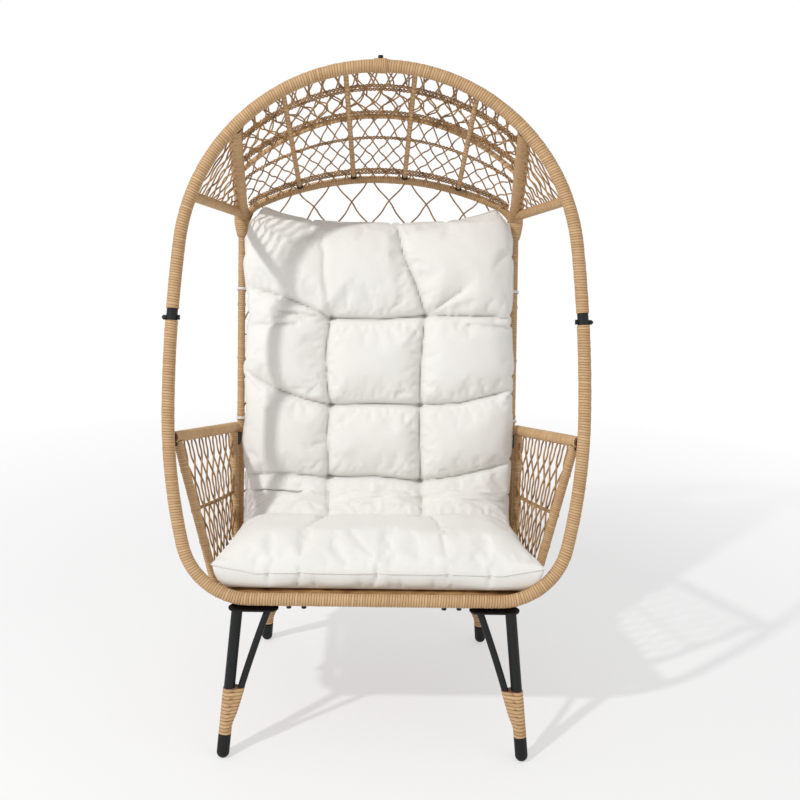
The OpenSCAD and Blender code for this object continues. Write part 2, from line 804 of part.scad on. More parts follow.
// The ear closes the corner between post, lower edge tube and hoop
ear_front = [0.13, 0.09];
ear_rear = 0.74;
module ear_net(side) {
    function post_point(share) = inset(mixed(post_hi, post_lo, share),
        mixed(edge_hi, edge_lo, share), post_lo - post_hi, post_wrap_r + clear + 0.5);
    function edge_point(share) = inset(mixed(edge_hi, edge_lo, share),
        mixed(post_hi, post_lo, share), edge_lo - edge_hi, edge_wrap_r + clear + 0.5);
    color(STRAND) centred() on_side(side) woven_panel(edge_point(ear_front[1]),
        edge_point(ear_rear), post_point(ear_rear), post_point(ear_front[0]), 4, 4);
}

// ---------- arms ----------
module hoop_side_space(r) {
    hoop_plane() bend(low_c, low_side_r, -low_a, 0, r);
}

module arm_rail_run(r, inner = 0) {
    difference() {
        bar(arm_front, arm_rear, r, inner);
        hoop_side_space(wrap_r + clear);
    }
}

module arm_post_run(foot, top, r, inner = 0) {
    difference() {
        bar(foot, top, r, inner);
        bar(arm_front, arm_rear, arm_rail_r + clear);
        bar([seat_half_w, front_y + seat_corner_r, rail_z],
            [seat_half_w, rear_y, rail_z], wrap_r + clear);
    }
}

module arm_frame(side) {
    color(STEEL) centred() on_side(side) {
        arm_rail_run(arm_r, arm_r - tube_wall);
        arm_post_run(arm_front_foot, arm_front_top, arm_r, arm_r - tube_wall);
        arm_post_run(arm_rear_foot, arm_rear_top, arm_r, arm_r - tube_wall);
    }
}

module arm_wraps() {
    color(WICKER) centred() both_sides() {
        arm_rail_run(arm_rail_r, arm_r + snug);
        arm_post_run(arm_front_foot, arm_front_top, arm_post_r, arm_r + snug);
        arm_post_run(arm_rear_foot, arm_rear_top, arm_post_r, arm_r + snug);
    }
}

// The arm's net keeps clear of the rail above it and of the seat frame below it
net_below_rail = arm_rail_r + clear + 5;
net_above_seat = wrap_r + clear + 6;
module arm_net(side) {
    front_axis = arm_front_top - arm_front_foot;
    rear_axis = arm_rear_top - arm_rear_foot;
    in_post = arm_post_r + clear + 0.5;
    f_top = along(arm_front_top, arm_front_foot, net_below_rail);
    f_low = along(arm_front_foot, arm_front_top, net_above_seat);
    r_top = along(arm_rear_top, arm_rear_foot, net_below_rail);
    r_low = along(arm_rear_foot, arm_rear_top, net_above_seat);
    color(STRAND) centred() on_side(side) woven_panel(inset(f_low, r_low, front_axis, in_post),
        inset(r_low, f_low, rear_axis, in_post), inset(r_top, f_top, rear_axis, in_post),
        inset(f_top, r_top, front_axis, in_post), 8, 4);
}

// Flat black brackets tie each arm to the hoop in front and to the upright behind
bracket_w = 12;
front_bracket_h = 20;
rear_bracket_h = 28;
module arm_brackets() {
    front_s = arm_h - arm_rail_r - 1;
    rear_z = arm_rear_top[2] - arm_rail_r - 21;
    hoop_at = on_hoop(hoop_x(front_s), front_s);
    post_at = at_height(arm_front_foot, arm_front_top, hoop_at[2]);
    rear_at = at_height(arm_rear_foot, arm_rear_top, rear_z);
    upright_at = on_back(back_half_w, (rear_z - rail_top) / cos(back_lean));
    color(STEEL) centred() both_sides() {
        difference() {
            strap(hoop_at, post_at, bracket_w, front_bracket_h);
            hoop_side_space(wrap_r + clear);
            bar(arm_front_foot, arm_front_top, arm_post_r + clear);
            bar(arm_front, arm_rear, arm_rail_r + clear);
        }
        difference() {
            strap(rear_at, upright_at, bracket_w, rear_bracket_h);
            bar(arm_rear_foot, arm_rear_top, arm_post_r + clear);
            bar(on_back(back_half_w, 0), on_back(back_half_w, back_corner_h), back_wrap_r + clear);
        }
    }
}

// A flat upright strap from a to b
module strap(a, b, t, h) {
    x = unit([b[0] - a[0], b[1] - a[1], 0]);
    on_axes(a, x, cross([0, 0, 1], x), [0, 0, 1])
        translate([0, -t / 2, -h / 2]) cube([norm(b - a), t, h]);
}

// ---------- legs ----------
// Each leg unit is drawn for a front leg on the side of positive X, with its top at the origin's X.
// An end of 1 is the front and -1 the rear.
brace_low_z = leg_wrap_top - brace_drop;
brace_gap = tube_r + brace_r + clear;
brace_dir = [-1, 0, 0];
brace_low = leg_at(brace_low_z) + brace_dir * brace_gap;
brace_mid = leg_at(leg_wrap_top + brace_bow_h) + brace_dir * (brace_gap + brace_bow);
brace_top = [-brace_span, brace_in, plate_low + brace_r];

// Stands a leg unit under its rail, at the front or the rear
module leg_place(side, end) {
    on_side(side) translate([end > 0 ? front_top_x : rear_top_x, leg_top_y(end), 0])
        scale_y(end) children();
}

module scale_y(end) {
    if (end > 0) children();
    else mirror([0, 1, 0]) children();
}

module above_plate() {
    translate([-trim_size / 2, -trim_size / 2, plate_low]) cube(trim_size);
}

module leg(side, end) {
    color(STEEL) centred() leg_place(side, end) difference() {
        bar(leg_at(cap_r), leg_at(plate_low + tube_d), tube_r, tube_r - tube_wall);
        above_plate();
    }
}

module brace_run(r, inner = 0) {
    arc_bar(brace_low, brace_mid, brace_top, r, inner);
}

module brace(side, end) {
    color(STEEL) centred() leg_place(side, end) difference() {
        brace_run(brace_r, brace_r - tube_wall);
        above_plate();
    }
}

module leg_plates() {
    plate_r = tube_r + plate_rim;
    color(STEEL) centred() difference() {
        for (side = [-1, 1], end = [-1, 1]) leg_place(side, end)
            translate([0, rail_off(end) / 2, plate_low]) linear_extrude(plate_t) {
                circle(plate_r);
                translate([-brace_span, 0]) circle(plate_r);
                translate([-brace_span, -plate_r]) square([brace_span, 2 * plate_r]);
            }
        for (p = plate_bolts)
            translate([p[0], p[1], plate_low - 1]) cylinder(h = plate_t + 2, r = bolt_r + snug);
    }
}

// The wicker binding takes in the leg and the brace's lower end
wrap_out = snug + wrap_t;
wrap_low = leg_at(cap_h + clear);
wrap_high = leg_at(leg_wrap_top);
wrap_side = wrap_high + brace_dir * (brace_gap + wrap_side_out);
wrap_toe = leg_at(cap_h + clear + brace_r) + brace_dir * (tube_r - brace_r);
module leg_wrap(side, end) {
    z = unit(cross(leg_axis, brace_dir));
    x = unit(cross(z, leg_axis));
    y = cross(z, x);
    color(WICKER) centred() leg_place(side, end) difference() {
        union() {
            bar(wrap_low, wrap_high, tube_r + wrap_out);
            bar(wrap_toe, wrap_side, brace_r + wrap_out);
            on_axes(wrap_low, x, y, z) linear_extrude(2 * brace_r, center = true)
                polygon([for (p = [along(wrap_toe, wrap_side, 6), along(wrap_high, wrap_low, 1.5),
                    along(wrap_side, wrap_low, 1.5)]) [(p - wrap_low) * x, (p - wrap_low) * y]]);
        }
        bar(leg_at(0), leg_at(leg_wrap_top + tube_d), tube_r + snug);
        brace_run(brace_r + snug);
    }
}

module foot_cap(side, end) {
    color(STEEL) centred() leg_place(side, end) difference() {
        union() {
            bar(leg_at(cap_r - cap_flat), leg_at(cap_h), cap_r);
            translate(leg_at(cap_r - cap_flat)) sphere(r = cap_r);
        }
        bar(leg_at(cap_r), leg_at(cap_h + tube_r), tube_r + snug);
        translate([-trim_size / 2, -trim_size / 2, -trim_size]) cube(trim_size);
    }
}

// ---------- cushion ----------
// The cushion's underside runs back along the deck, turns up and follows the back panel.
// It is measured along that line; the turn is a quarter bend less the back's lean.
pad_front_y = 8;
pad_low = deck_top + clear;
pad_back_gap = net_t / 2 + clear + 2;
turn_r = 70;
turn_a = 90 - back_lean;
pad_wall = on_back(0, 0) + pad_back_gap * [0, -cos(back_lean), sin(back_lean)];
wall_dir = [0, sin(back_lean), cos(back_lean)];
wall_y_low = pad_wall[1] + (pad_low - pad_wall[2]) * tan(back_lean);
flat_len = wall_y_low - pad_front_y - turn_r * tan(turn_a / 2);
turn_len = turn_r * turn_a * PI / 180;
wall_len = pad_top - turn_r * tan(turn_a / 2);
pad_len = flat_len + turn_len + wall_len;
turn_c = [0, pad_front_y + flat_len, pad_low + turn_r];

function under(d) = d < flat_len
    ? [0, pad_front_y + d, pad_low]
    : d < flat_len + turn_len
        ? let (a = (d - flat_len) / turn_r * 180 / PI) turn_c + turn_r * [0, sin(a), -cos(a)]
        : turn_c + turn_r * [0, sin(turn_a), -cos(turn_a)] + (d - flat_len - turn_len) * wall_dir;
function inward(d) = d < flat_len
    ? [0, 0, 1]
    : d < flat_len + turn_len
        ? let (a = (d - flat_len) / turn_r * 180 / PI) [0, -sin(a), cos(a)]
        : [0, -cos(back_lean), sin(back_lean)];

// Tuft rows, as distances along that line, and the cushion's grid with steps_in steps per square
tuft_rows = [0.192, 0.44, 0.6, 0.785] * pad_len;
row_ends = concat([0], tuft_rows, [pad_len]);
col_ends = [-1, -tuft_x / back_pad_w, tuft_x / back_pad_w, 1];
steps_in = 6;
col_steps = 3 * steps_in;
row_steps = 5 * steps_in;
function spread(ends, k) = let (cell = min(floor(k / steps_in), len(ends) - 2))
    mixed(ends[cell], ends[cell + 1], (k - cell * steps_in) / steps_in);
function half_width(d) = mixed(seat_pad_w, back_pad_w + 28, min(1, d / 70))
    - 28 * min(1, max(0, (d - 70) / 260));
function puff(k) = pow(abs(sin(180 * k / steps_in)), 0.7);

// How full the cushion is at grid point i, j: nought on its rim, one within
rim_h = pad_t / 2 - 6;
function rim_full(i, j) = let (a = min(i, col_steps - i) / 2.2, b = min(j, row_steps - j) / 2.2)
    sqrt(max(0, 1 - pow(max(0, 1 - a), 2.4))) * sqrt(max(0, 1 - pow(max(0, 1 - b), 2.4)));
function is_tuft(i, j) = i % steps_in == 0 && j % steps_in == 0;
function top_at(i, j) = let (full = rim_full(i, j))
    mixed(rim_h, pad_t - crease_depth * (2 - puff(i) - puff(j))
        - (is_tuft(i, j) ? tuft_depth - crease_depth : 0), full);
function low_at(i, j) = mixed(rim_h, 0, rim_full(i, j));
function pad_point(i, j, off) = let (d = spread(row_ends, j), draw = 9 * (1 - puff(j)),
        w = half_width(d) - draw)
    under(d) + off * inward(d) + [w * spread(col_ends, i), 0, 0];

module cushion() {
    cols = col_steps + 1;
    inner = [for (j = [1:row_steps - 1], i = [1:col_steps - 1]) pad_point(i, j, low_at(i, j))];
    top = [for (j = [0:row_steps], i = [0:col_steps]) pad_point(i, j, top_at(i, j))];
    top_n = len(top);
    function up_id(i, j) = j * cols + i;
    function low_id(i, j) = (i == 0 || j == 0 || i == col_steps || j == row_steps)
        ? up_id(i, j) : top_n + (j - 1) * (col_steps - 1) + i - 1;
    // Each cell is cut from its corner nearest the cushion's corner
    function rises(i, j) = (i < col_steps / 2) == (j < row_steps / 2);
    function split(p, q, r, s, rising) = rising ? [[p, r, q], [p, s, r]] : [[p, s, q], [q, s, r]];
    up_faces = [for (j = [0:row_steps - 1], i = [0:col_steps - 1]) each
        split(up_id(i, j), up_id(i + 1, j), up_id(i + 1, j + 1), up_id(i, j + 1), rises(i, j))];
    low_faces = [for (j = [0:row_steps - 1], i = [0:col_steps - 1], face =
        split(low_id(i, j), low_id(i + 1, j), low_id(i + 1, j + 1), low_id(i, j + 1), rises(i, j)))
        [face[0], face[2], face[1]]];
    color(CLOTH) centred() polyhedron(concat(top, inner), concat(up_faces, low_faces));
}

// Cords tied round the uprights at two heights, in open rows of the back net's edge
tie_rows = [5, 11];
module tie_rings(r) {
    for (row = tie_rows)
        on_axes(on_back(back_half_w, mixed(net_low, back_corner_h, row / net_rows)), [1, 0, 0],
            [0, -cos(back_lean), sin(back_lean)], [0, sin(back_lean), cos(back_lean)])
            rotate_extrude() translate([back_wrap_r + clear + tie_d / 2, 0]) circle(r);
}

module cushion_ties() {
    color(CLOTH) centred() both_sides() tie_rings(tie_d / 2);
}

lower_hoop();
lower_hoop_wrap();
upper_hoop();
upper_hoop_wrap();
hoop_spigots();
hoop_bolts();
hoop_nuts();
crown_saddle();
crown_bolt();
seat_frame();
seat_frame_wrap();
seat_slats();
seat_deck();
seat_bolts();
back_frame();
back_frame_wrap();
back_net();
canopy_post(-1);  // canopy_post_left
canopy_post(1);  // canopy_post_right
canopy_edge(-1);  // canopy_edge_left
canopy_edge(1);  // canopy_edge_right
canopy_wraps();
canopy_sleeves();
canopy_mid_arc();
rib(1, -1);  // canopy_rib_1
rib(0, -1);  // canopy_rib_2
rib(0, 1);  // canopy_rib_3
rib(1, 1);  // canopy_rib_4
rib_clips();
canopy_front_net();
canopy_rear_net();
ear_net(-1);  // ear_net_left
ear_net(1);  // ear_net_right
arm_frame(-1);  // arm_frame_left
arm_frame(1);  // arm_frame_right
arm_wraps();
arm_net(-1);  // arm_net_left
arm_net(1);  // arm_net_right
arm_brackets();
leg(-1, 1);  // leg_front_left
leg(1, 1);  // leg_front_right
leg(-1, -1);  // leg_rear_left
leg(1, -1);  // leg_rear_right
brace(-1, 1);  // brace_front_left
brace(1, 1);  // brace_front_right
brace(-1, -1);  // brace_rear_left
brace(1, -1);  // brace_rear_right
leg_plates();
leg_wrap(-1, 1);  // leg_wrap_front_left
leg_wrap(1, 1);  // leg_wrap_front_right
leg_wrap(-1, -1);  // leg_wrap_rear_left
leg_wrap(1, -1);  // leg_wrap_rear_right
foot_cap(-1, 1);  // foot_cap_front_left
foot_cap(1, 1);  // foot_cap_front_right
foot_cap(-1, -1);  // foot_cap_rear_left
foot_cap(1, -1);  // foot_cap_rear_right
cushion();
cushion_ties();
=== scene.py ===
"""Dresses an egg chair: wound wicker on its tubes, woven canopy, back and arms, and a tufted cushion."""

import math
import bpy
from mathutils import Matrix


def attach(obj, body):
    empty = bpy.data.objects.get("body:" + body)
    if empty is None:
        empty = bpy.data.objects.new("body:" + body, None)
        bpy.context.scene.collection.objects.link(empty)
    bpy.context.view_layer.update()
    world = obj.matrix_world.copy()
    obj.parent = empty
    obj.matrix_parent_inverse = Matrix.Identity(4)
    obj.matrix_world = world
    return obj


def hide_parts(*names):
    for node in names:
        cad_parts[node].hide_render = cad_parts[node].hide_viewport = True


bl_info = {
    "name": "Egg Chair Dressing",
    "version": (1, 0, 0),
    "blender": (4, 5, 0),
    "location": "3D View > Sidebar > Egg Chair",
    "description": "Winds, weaves and upholsters an egg chair around its steel frame",
    "category": "Object",
}

import bmesh
import bpy
import numpy as np
from bpy.props import FloatProperty, FloatVectorProperty, IntProperty, PointerProperty
from mathutils import Matrix, Vector

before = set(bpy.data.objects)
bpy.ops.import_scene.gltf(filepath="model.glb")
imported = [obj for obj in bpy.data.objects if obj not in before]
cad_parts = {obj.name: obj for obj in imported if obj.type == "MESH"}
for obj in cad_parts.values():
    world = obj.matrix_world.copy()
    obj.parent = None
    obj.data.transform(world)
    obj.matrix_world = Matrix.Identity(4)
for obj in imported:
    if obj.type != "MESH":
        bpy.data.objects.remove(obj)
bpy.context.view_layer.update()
TAU = 2 * math.pi
WHITE = (1, 1, 1, 1)


# ---------- settings ----------
def length(name, text, value, low=0.0, high=3.0):
    return FloatProperty(name=name, description=text, default=value, min=low, max=high,
                         precision=4, subtype="DISTANCE", unit="LENGTH")


def turn(name, text, degrees):
    return FloatProperty(name=name, description=text, default=math.radians(degrees),
                         subtype="ANGLE", unit="ROTATION")


def share(name, text, value):
    return FloatProperty(name=name, description=text, default=value, min=0.0, max=1.0,
                         subtype="FACTOR")


def colour(name, text, value):
    return FloatVectorProperty(name=name, description=text, default=value, size=3,
                               min=0.0, max=1.0, subtype="COLOR")


def lamp_power(name, text, watts):
    return FloatProperty(name=name, description=text, default=watts, min=0.0, unit="POWER")


class CHAIR_PG_frame(bpy.types.PropertyGroup):
    """Sizes of the steel frame that the wicker follows"""
    middle: length("Middle", "Depth of the box's middle behind the bottom bar", 0.270168)
    hoop_lean: turn("Hoop Lean", "Lean of the hoop back from upright", 15)
    bar_z: length("Bar Height", "Height of the bottom bar's centre", 0.3555)
    hoop_half: length("Hoop Half Width", "Half of the hoop's greatest width", 0.464)
    widest: length("Widest Height", "How far up the hoop its widest point lies", 0.423)
    corner: length("Corner Radius", "Radius of the hoop's bottom corners", 0.156)
    bar_half: length("Bar Half", "Half of the bottom bar's straight length", 0.277)
    top_r: length("Top Radius", "Radius of the hoop's round top", 0.446)
    top_h: length("Top Height", "How far up the hoop the top's centre lies", 0.744)
    joint_h: length("Joint Height", "How far up the hoop its halves join", 0.632)
    bare: length("Bare Tube", "Length of bare tube at each joint", 0.027)
    tube_r: length("Wound Tube Radius", "Radius of the hoop over its winding", 0.0145)
    rail_z: length("Rail Height", "Height of the seat rail's centre", 0.3425)
    rail_y: length("Rail Depth", "Depth of the front rail behind the bottom bar", 0.026)
    seat_depth: length("Seat Depth", "Depth of the seat frame", 0.414)
    seat_half: length("Seat Half Width", "Half of the seat frame's width", 0.346)
    seat_corner: length("Seat Corner", "Radius of the seat frame's corners", 0.060)
    back_lean: turn("Back Lean", "Lean of the back frame from upright", 12.5)
    back_y: length("Back Foot", "Depth of the uprights' feet behind the bottom bar", 0.416)
    back_half: length("Back Half Width", "Half of the back frame's width", 0.347)
    back_h: length("Back Height", "Height of the back frame along its lean", 0.897)
    back_arc: length("Back Arc", "Radius of the back frame's top arc", 0.730)
    back_corner: length("Back Corner", "Radius of the back frame's corners", 0.080)
    back_r: length("Upright Radius", "Radius of the back frame over its winding", 0.0095)
    post_a: turn("Post Angle", "Where the canopy posts meet the hoop", 46.5)
    edge_a: turn("Edge Angle", "Where the lower edge tubes meet the hoop", 70)
    edge_share: share("Edge Share", "Where the edge tubes meet the posts", 0.945)
    post_r: length("Post Radius", "Radius of a canopy post over its winding", 0.0155)
    edge_r: length("Edge Radius", "Radius of a lower edge tube over its winding", 0.0115)
    sleeve_top: length("Sleeve Top", "Height of the sleeves' tops along the back", 0.815)
    sleeve_len: length("Sleeve Length", "Length of the sleeves", 0.067)
    sleeve_r: length("Sleeve Radius", "Radius of the sleeves", 0.020)
    rib_r: length("Rib Radius", "Radius of the ribs and of the middle arc", 0.006)
    rib_inner: turn("Inner Rib", "Where the inner ribs meet the hoop", 10.1)
    rib_outer: turn("Outer Rib", "Where the outer ribs meet the hoop", 29.2)
    rib_inner_x: length("Inner Rib Foot", "Distance of the inner ribs' feet", 0.064)
    rib_outer_x: length("Outer Rib Foot", "Distance of the outer ribs' feet", 0.200)
    mid_share: share("Middle Arc", "Where the middle arc's crown lies", 0.445)
    mid_end: share("Middle Arc Ends", "Where the middle arc meets the posts", 0.49)
    arm_h: length("Arm Height", "How far up the hoop the arm rails start", 0.357)
    arm_rear: length("Arm Rear Height", "Height of the arm rails' rear ends", 0.264)
    arm_rail_r: length("Arm Rail Radius", "Radius of the braided arm rail", 0.013)
    arm_post_r: length("Arm Post Radius", "Radius of the wound arm posts", 0.0105)


class CHAIR_PG_wicker(bpy.types.PropertyGroup):
    """How the wicker is wound and woven"""
    pitch: length("Strip Pitch", "Width of one turn of the winding", 0.0060)
    fine: length("Fine Pitch", "Width of one turn on the thin tubes", 0.0048)
    depth: length("Strip Depth", "Depth of the groove between two turns", 0.0009)
    strand: length("Strand Radius", "Radius of a woven strand", 0.0019)
    twist: length("Twist", "Length of one turn of a twisted band", 0.017)
    per_bay: IntProperty(name="Diamonds", description="Diamonds across one bay of the canopy",
                         default=4, min=1, max=8)


class CHAIR_PG_cushion(bpy.types.PropertyGroup):
    """Sizes of the cushion"""
    cell: length("Mesh Size", "Size of the simulated mesh's cells", 0.0090)
    frames: IntProperty(name="Frames", description="Length of the simulation",
                        default=12, min=1, max=60)
    pressure: FloatProperty(name="Pressure", description="How firmly the filling swells",
                            default=4.0, min=0.0, max=20.0)
    cap: length("Largest Move", "How far a point of the cover may swell", 0.013)


class CHAIR_PG_finish(bpy.types.PropertyGroup):
    """Colours of the chair"""
    wicker_light: colour("Light Wicker", "Lighter strips", (0.69, 0.458, 0.245))
    wicker_dark: colour("Dark Wicker", "Darker strips", (0.46, 0.272, 0.125))
    # The groove colour is painted shade, laid into the grooves, gaps and crossings of the wicker
    groove: colour("Groove", "Shade in the grooves", (0.13, 0.056, 0.016))
    strand_light: colour("Light Strand", "Lighter strands", (0.52, 0.305, 0.130))
    strand_dark: colour("Dark Strand", "Darker strands", (0.20, 0.092, 0.030))
    steel: colour("Steel", "Powder-coated steel", (0.007, 0.0075, 0.0085))
    cloth: colour("Cloth", "The cushion's cover", (0.86, 0.855, 0.83))


class CHAIR_PG_studio(bpy.types.PropertyGroup):
    """Camera and lights"""
    camera: FloatVectorProperty(name="Camera", description="Place of the camera", size=3,
                                default=(0.0, -2.6252, 1.460), subtype="TRANSLATION")
    pitch: turn("Camera Pitch", "How far the camera looks down", 15.24)
    roll: turn("Camera Roll", "Roll of the camera", 0.7)
    lens: FloatProperty(name="Lens", description="Focal length in millimetres", default=51.75)
    shift: FloatProperty(name="Shift", description="Sideways shift of the lens", default=0.0294)
    floor: colour("Floor", "The pale floor", (0.93, 0.93, 0.93))
    key: lamp_power("Key Lamp", "The lamp that casts the shadow", 190.0)
    fill: lamp_power("Fill Lamp", "The soft lamp on the other side", 10.0)
    backdrop: share("Backdrop Light", "How strongly the backdrop lights the chair", 0.56)


# ---------- materials ----------
class Wire:
    """A socket whose arithmetic adds Math nodes"""
    def __init__(self, nodes, socket):
        self.nodes, self.socket = nodes, socket

    def __add__(self, other):
        return self.nodes.math("ADD", self, other)

    def __radd__(self, other):
        return self.nodes.math("ADD", other, self)

    def __sub__(self, other):
        return self.nodes.math("SUBTRACT", self, other)

    def __rsub__(self, other):
        return self.nodes.math("SUBTRACT", other, self)

    def __mul__(self, other):
        return self.nodes.math("MULTIPLY", self, other)

    def __rmul__(self, other):
        return self.nodes.math("MULTIPLY", other, self)

    def __truediv__(self, other):
        return self.nodes.math("DIVIDE", self, other)

    def __rtruediv__(self, other):
        return self.nodes.math("DIVIDE", other, self)

    def __pow__(self, other):
        return self.nodes.math("POWER", self, other)

    def __rpow__(self, other):
        return self.nodes.math("POWER", other, self)

    def clamp(self):
        return self.nodes.node("ShaderNodeClamp", {}, {"Value": self})


class Nodes:
    """The nodes of a material or of the world"""
    def __init__(self, tree):
        self.tree = tree

    def node(self, kind, options=None, values=None, output=0):
        """A node with its options, then the values or wires of its inputs, as a wire"""
        made = self.tree.nodes.new(kind)
        for key, value in (options or {}).items():
            setattr(made, key, value)
        for key, value in (values or {}).items():
            if isinstance(value, Wire):
                self.tree.links.new(value.socket, made.inputs[key])
            elif value is not None:
                made.inputs[key].default_value = value
        return Wire(self, made.outputs[output])

    def math(self, operation, *values):
        return self.node("ShaderNodeMath", {"operation": operation}, dict(enumerate(values)))

    def seen(self):
        """1 for what the camera sees, straight, mirrored or through a clear piece"""
        rays = [self.node("ShaderNodeLightPath", output=f"Is {ray} Ray")
                for ray in ("Camera", "Glossy", "Transmission")]
        return self.math("MAXIMUM", self.math("MAXIMUM", *rays[:2]), rays[2])

    def show(self, factor, shader, plain, output):
        """Send a mix of a lit shader's node and a plain shader's wire to the output"""
        both = self.node("ShaderNodeMixShader", {},
                         {0: factor, 1: Wire(self, shader.outputs[0]), 2: plain})
        self.tree.links.new(both.socket, self.tree.nodes[output].inputs["Surface"])


class Finish(Nodes):
    """A material built from one Principled shader"""
    def __init__(self, name, roughness, specular):
        self.material = bpy.data.materials.new(name)
        self.material.use_nodes = True
        super().__init__(self.material.node_tree)
        self.shader = self.tree.nodes["Principled BSDF"]
        self.shader.inputs["Roughness"].default_value = roughness
        self.shader.inputs["Specular IOR Level"].default_value = specular

    def mix(self, factor, one, two):
        def tint(value):
            return value if isinstance(value, Wire) else (*value, 1.0)
        return self.node("ShaderNodeMix", {"data_type": "RGBA"},
                         {0: factor, 6: tint(one), 7: tint(two)}, output=2)

    def place(self):
        return self.node("ShaderNodeTexCoord", output="Object")

    def uv(self):
        at = self.node("ShaderNodeUVMap", {"uv_map": "UVMap"})
        return [self.node("ShaderNodeSeparateXYZ", {}, {0: at}, output=axis) for axis in "XY"]

    def attribute(self, name):
        return self.node("ShaderNodeAttribute", {"attribute_name": name}, output="Fac")

    def vector(self, x, y=0.0):
        return self.node("ShaderNodeCombineXYZ", {}, {0: x, 1: y})

    def noise(self, at, scale, detail=2.0, rough=0.5):
        return self.node("ShaderNodeTexNoise", {},
                         {"Vector": at, "Scale": scale, "Detail": detail, "Roughness": rough})

    def bump(self, height, strength, distance, under=None):
        return self.node("ShaderNodeBump", {}, {"Strength": strength, "Distance": distance,
                                                "Height": height, "Normal": under})

    def set(self, **values):
        """Wire the shader's colour, roughness or normal"""
        names = {"colour": "Base Color", "roughness": "Roughness", "normal": "Normal"}
        for key, value in values.items():
            self.tree.links.new(value.socket, self.shader.inputs[names[key]])


def wicker_finish(name, light, dark, groove):
    """Wound strips: each strip has its own tone and a fine grain along it, with painted shade darkening
    the groove beside it
    """
    f = Finish(name, 0.55, 0.4)
    around, along = f.uv()
    strip = f.math("FLOOR", along) + around
    across = f.math("FRACT", along)
    tone = f.noise(f.vector(strip * 0.9), 1.0, 1.0)
    grain = f.noise(f.vector(strip * 9.0, across * 7.0), 1.0, 3.0, 0.6)
    wide = f.noise(f.place(), 9.0, 1.0)
    blend = ((tone - 0.5) * 1.7 + (grain - 0.5) * 0.5 + (wide - 0.5) * 0.8 + 0.45).clamp()
    # Painted shade: the mesh's mark darkens the strips towards the groove colour in grooves, gaps and
    # crossings
    dip = f.attribute("dip").clamp()
    f.set(colour=f.mix(dip ** 1.3 * 0.95, f.mix(blend, light, dark), groove),
          roughness=0.48 + grain * 0.2,
          normal=f.bump(f.noise(f.vector(strip * 3.0, across * 22.0), 1.0), 0.35, 0.0006))


def strand_finish(name, light, dark):
    """Thin round strands, with patches of two tones and streaks along each strand"""
    f = Finish(name, 0.5, 0.4)
    around, along = f.uv()
    tone = f.noise(f.place(), 35.0)
    streak = f.noise(f.vector(around * 9.0, along * 0.6), 1.0)
    blend = ((tone - 0.5) * 2.0 + (streak - 0.5) * 1.2 + 0.45).clamp()
    f.set(colour=f.mix(blend, light, dark), roughness=0.42 + streak * 0.25,
          normal=f.bump(streak, 0.4, 0.0004))


def steel_finish(name, tint, roughness):
    """Powder coat: a fine orange peel and slightly worn tone"""
    f = Finish(name, roughness, 0.28)
    at = f.place()
    peel, wear = f.noise(at, 900.0), f.noise(at, 25.0, 3.0)
    lighter = tuple(c * 1.7 + 0.002 for c in tint)
    f.set(colour=f.mix((wear - 0.35).clamp(), tint, lighter),
          roughness=roughness + (wear - 0.5) * 0.2, normal=f.bump(peel, 0.25, 0.0002))


def cloth_finish(name, tint):
    """A plain weave on the piece's own place, with soft slubs and painted shade darkening the folds and
    tufts
    """
    f = Finish(name, 0.9, 0.2)
    f.shader.inputs["Sheen Weight"].default_value = 0.15
    f.shader.inputs["Sheen Roughness"].default_value = 0.6
    at = f.place()
    slub, patch = f.noise(at, 140.0, 3.0), f.noise(at, 5.0)
    warp, weft = (f.node("ShaderNodeTexWave", {"wave_type": "BANDS", "bands_direction": way},
                         {"Vector": at, "Scale": 260.0, "Distortion": 1.5, "Detail": 1.0},
                         output="Fac") for way in "XZ")
    warm = tuple(c * k for c, k in zip(tint, (0.97, 0.95, 0.90)))
    shade = f.mix(((patch - 0.5) * 0.9 + (slub - 0.5) * 0.5 + 0.3).clamp(), tint, warm)
    # Painted shade: the cover darkens along the creases' fold lines and at the tufts
    shade = f.mix(f.attribute("dip").clamp(), shade, tuple(c * 0.62 for c in warm))
    f.set(colour=shade, roughness=0.86 + slub * 0.08,
          normal=f.bump(warp + weft, 0.18, 0.0002, f.bump(slub, 0.2, 0.0008)))


# ---------- mesh building ----------
FINISHES = {"wicker": "wound wicker", "strand": "woven strand", "cloth": "cushion cloth"}


def placed(name, data, place=(0, 0, 0)):
    """A new object in the scene"""
    made = bpy.data.objects.new(name, data)
    bpy.context.scene.collection.objects.link(made)
    made.location = place
    return made


def finish_mesh(name, mesh, slot):
    """A mesh as a piece of the chair, in the finish of its slot"""
    mesh.name = name
    mesh.materials.append(bpy.data.materials[FINISHES[slot]])
    mesh.shade_smooth()
    piece = placed(name, mesh)
    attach(piece, "root")
    return piece


def dress(name, mesh, slot, node):
    """A piece of the chair that takes the place of a node"""
    piece = finish_mesh(name, mesh, slot)
    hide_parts(node)
    return piece


def gathered(items, key, width=1, kind=np.float32):
    """What every item holds under a key, as an array"""
    values = np.empty(len(items) * width, kind)
    items.foreach_get(key, values)
    return values.reshape(-1, width) if width > 1 else values


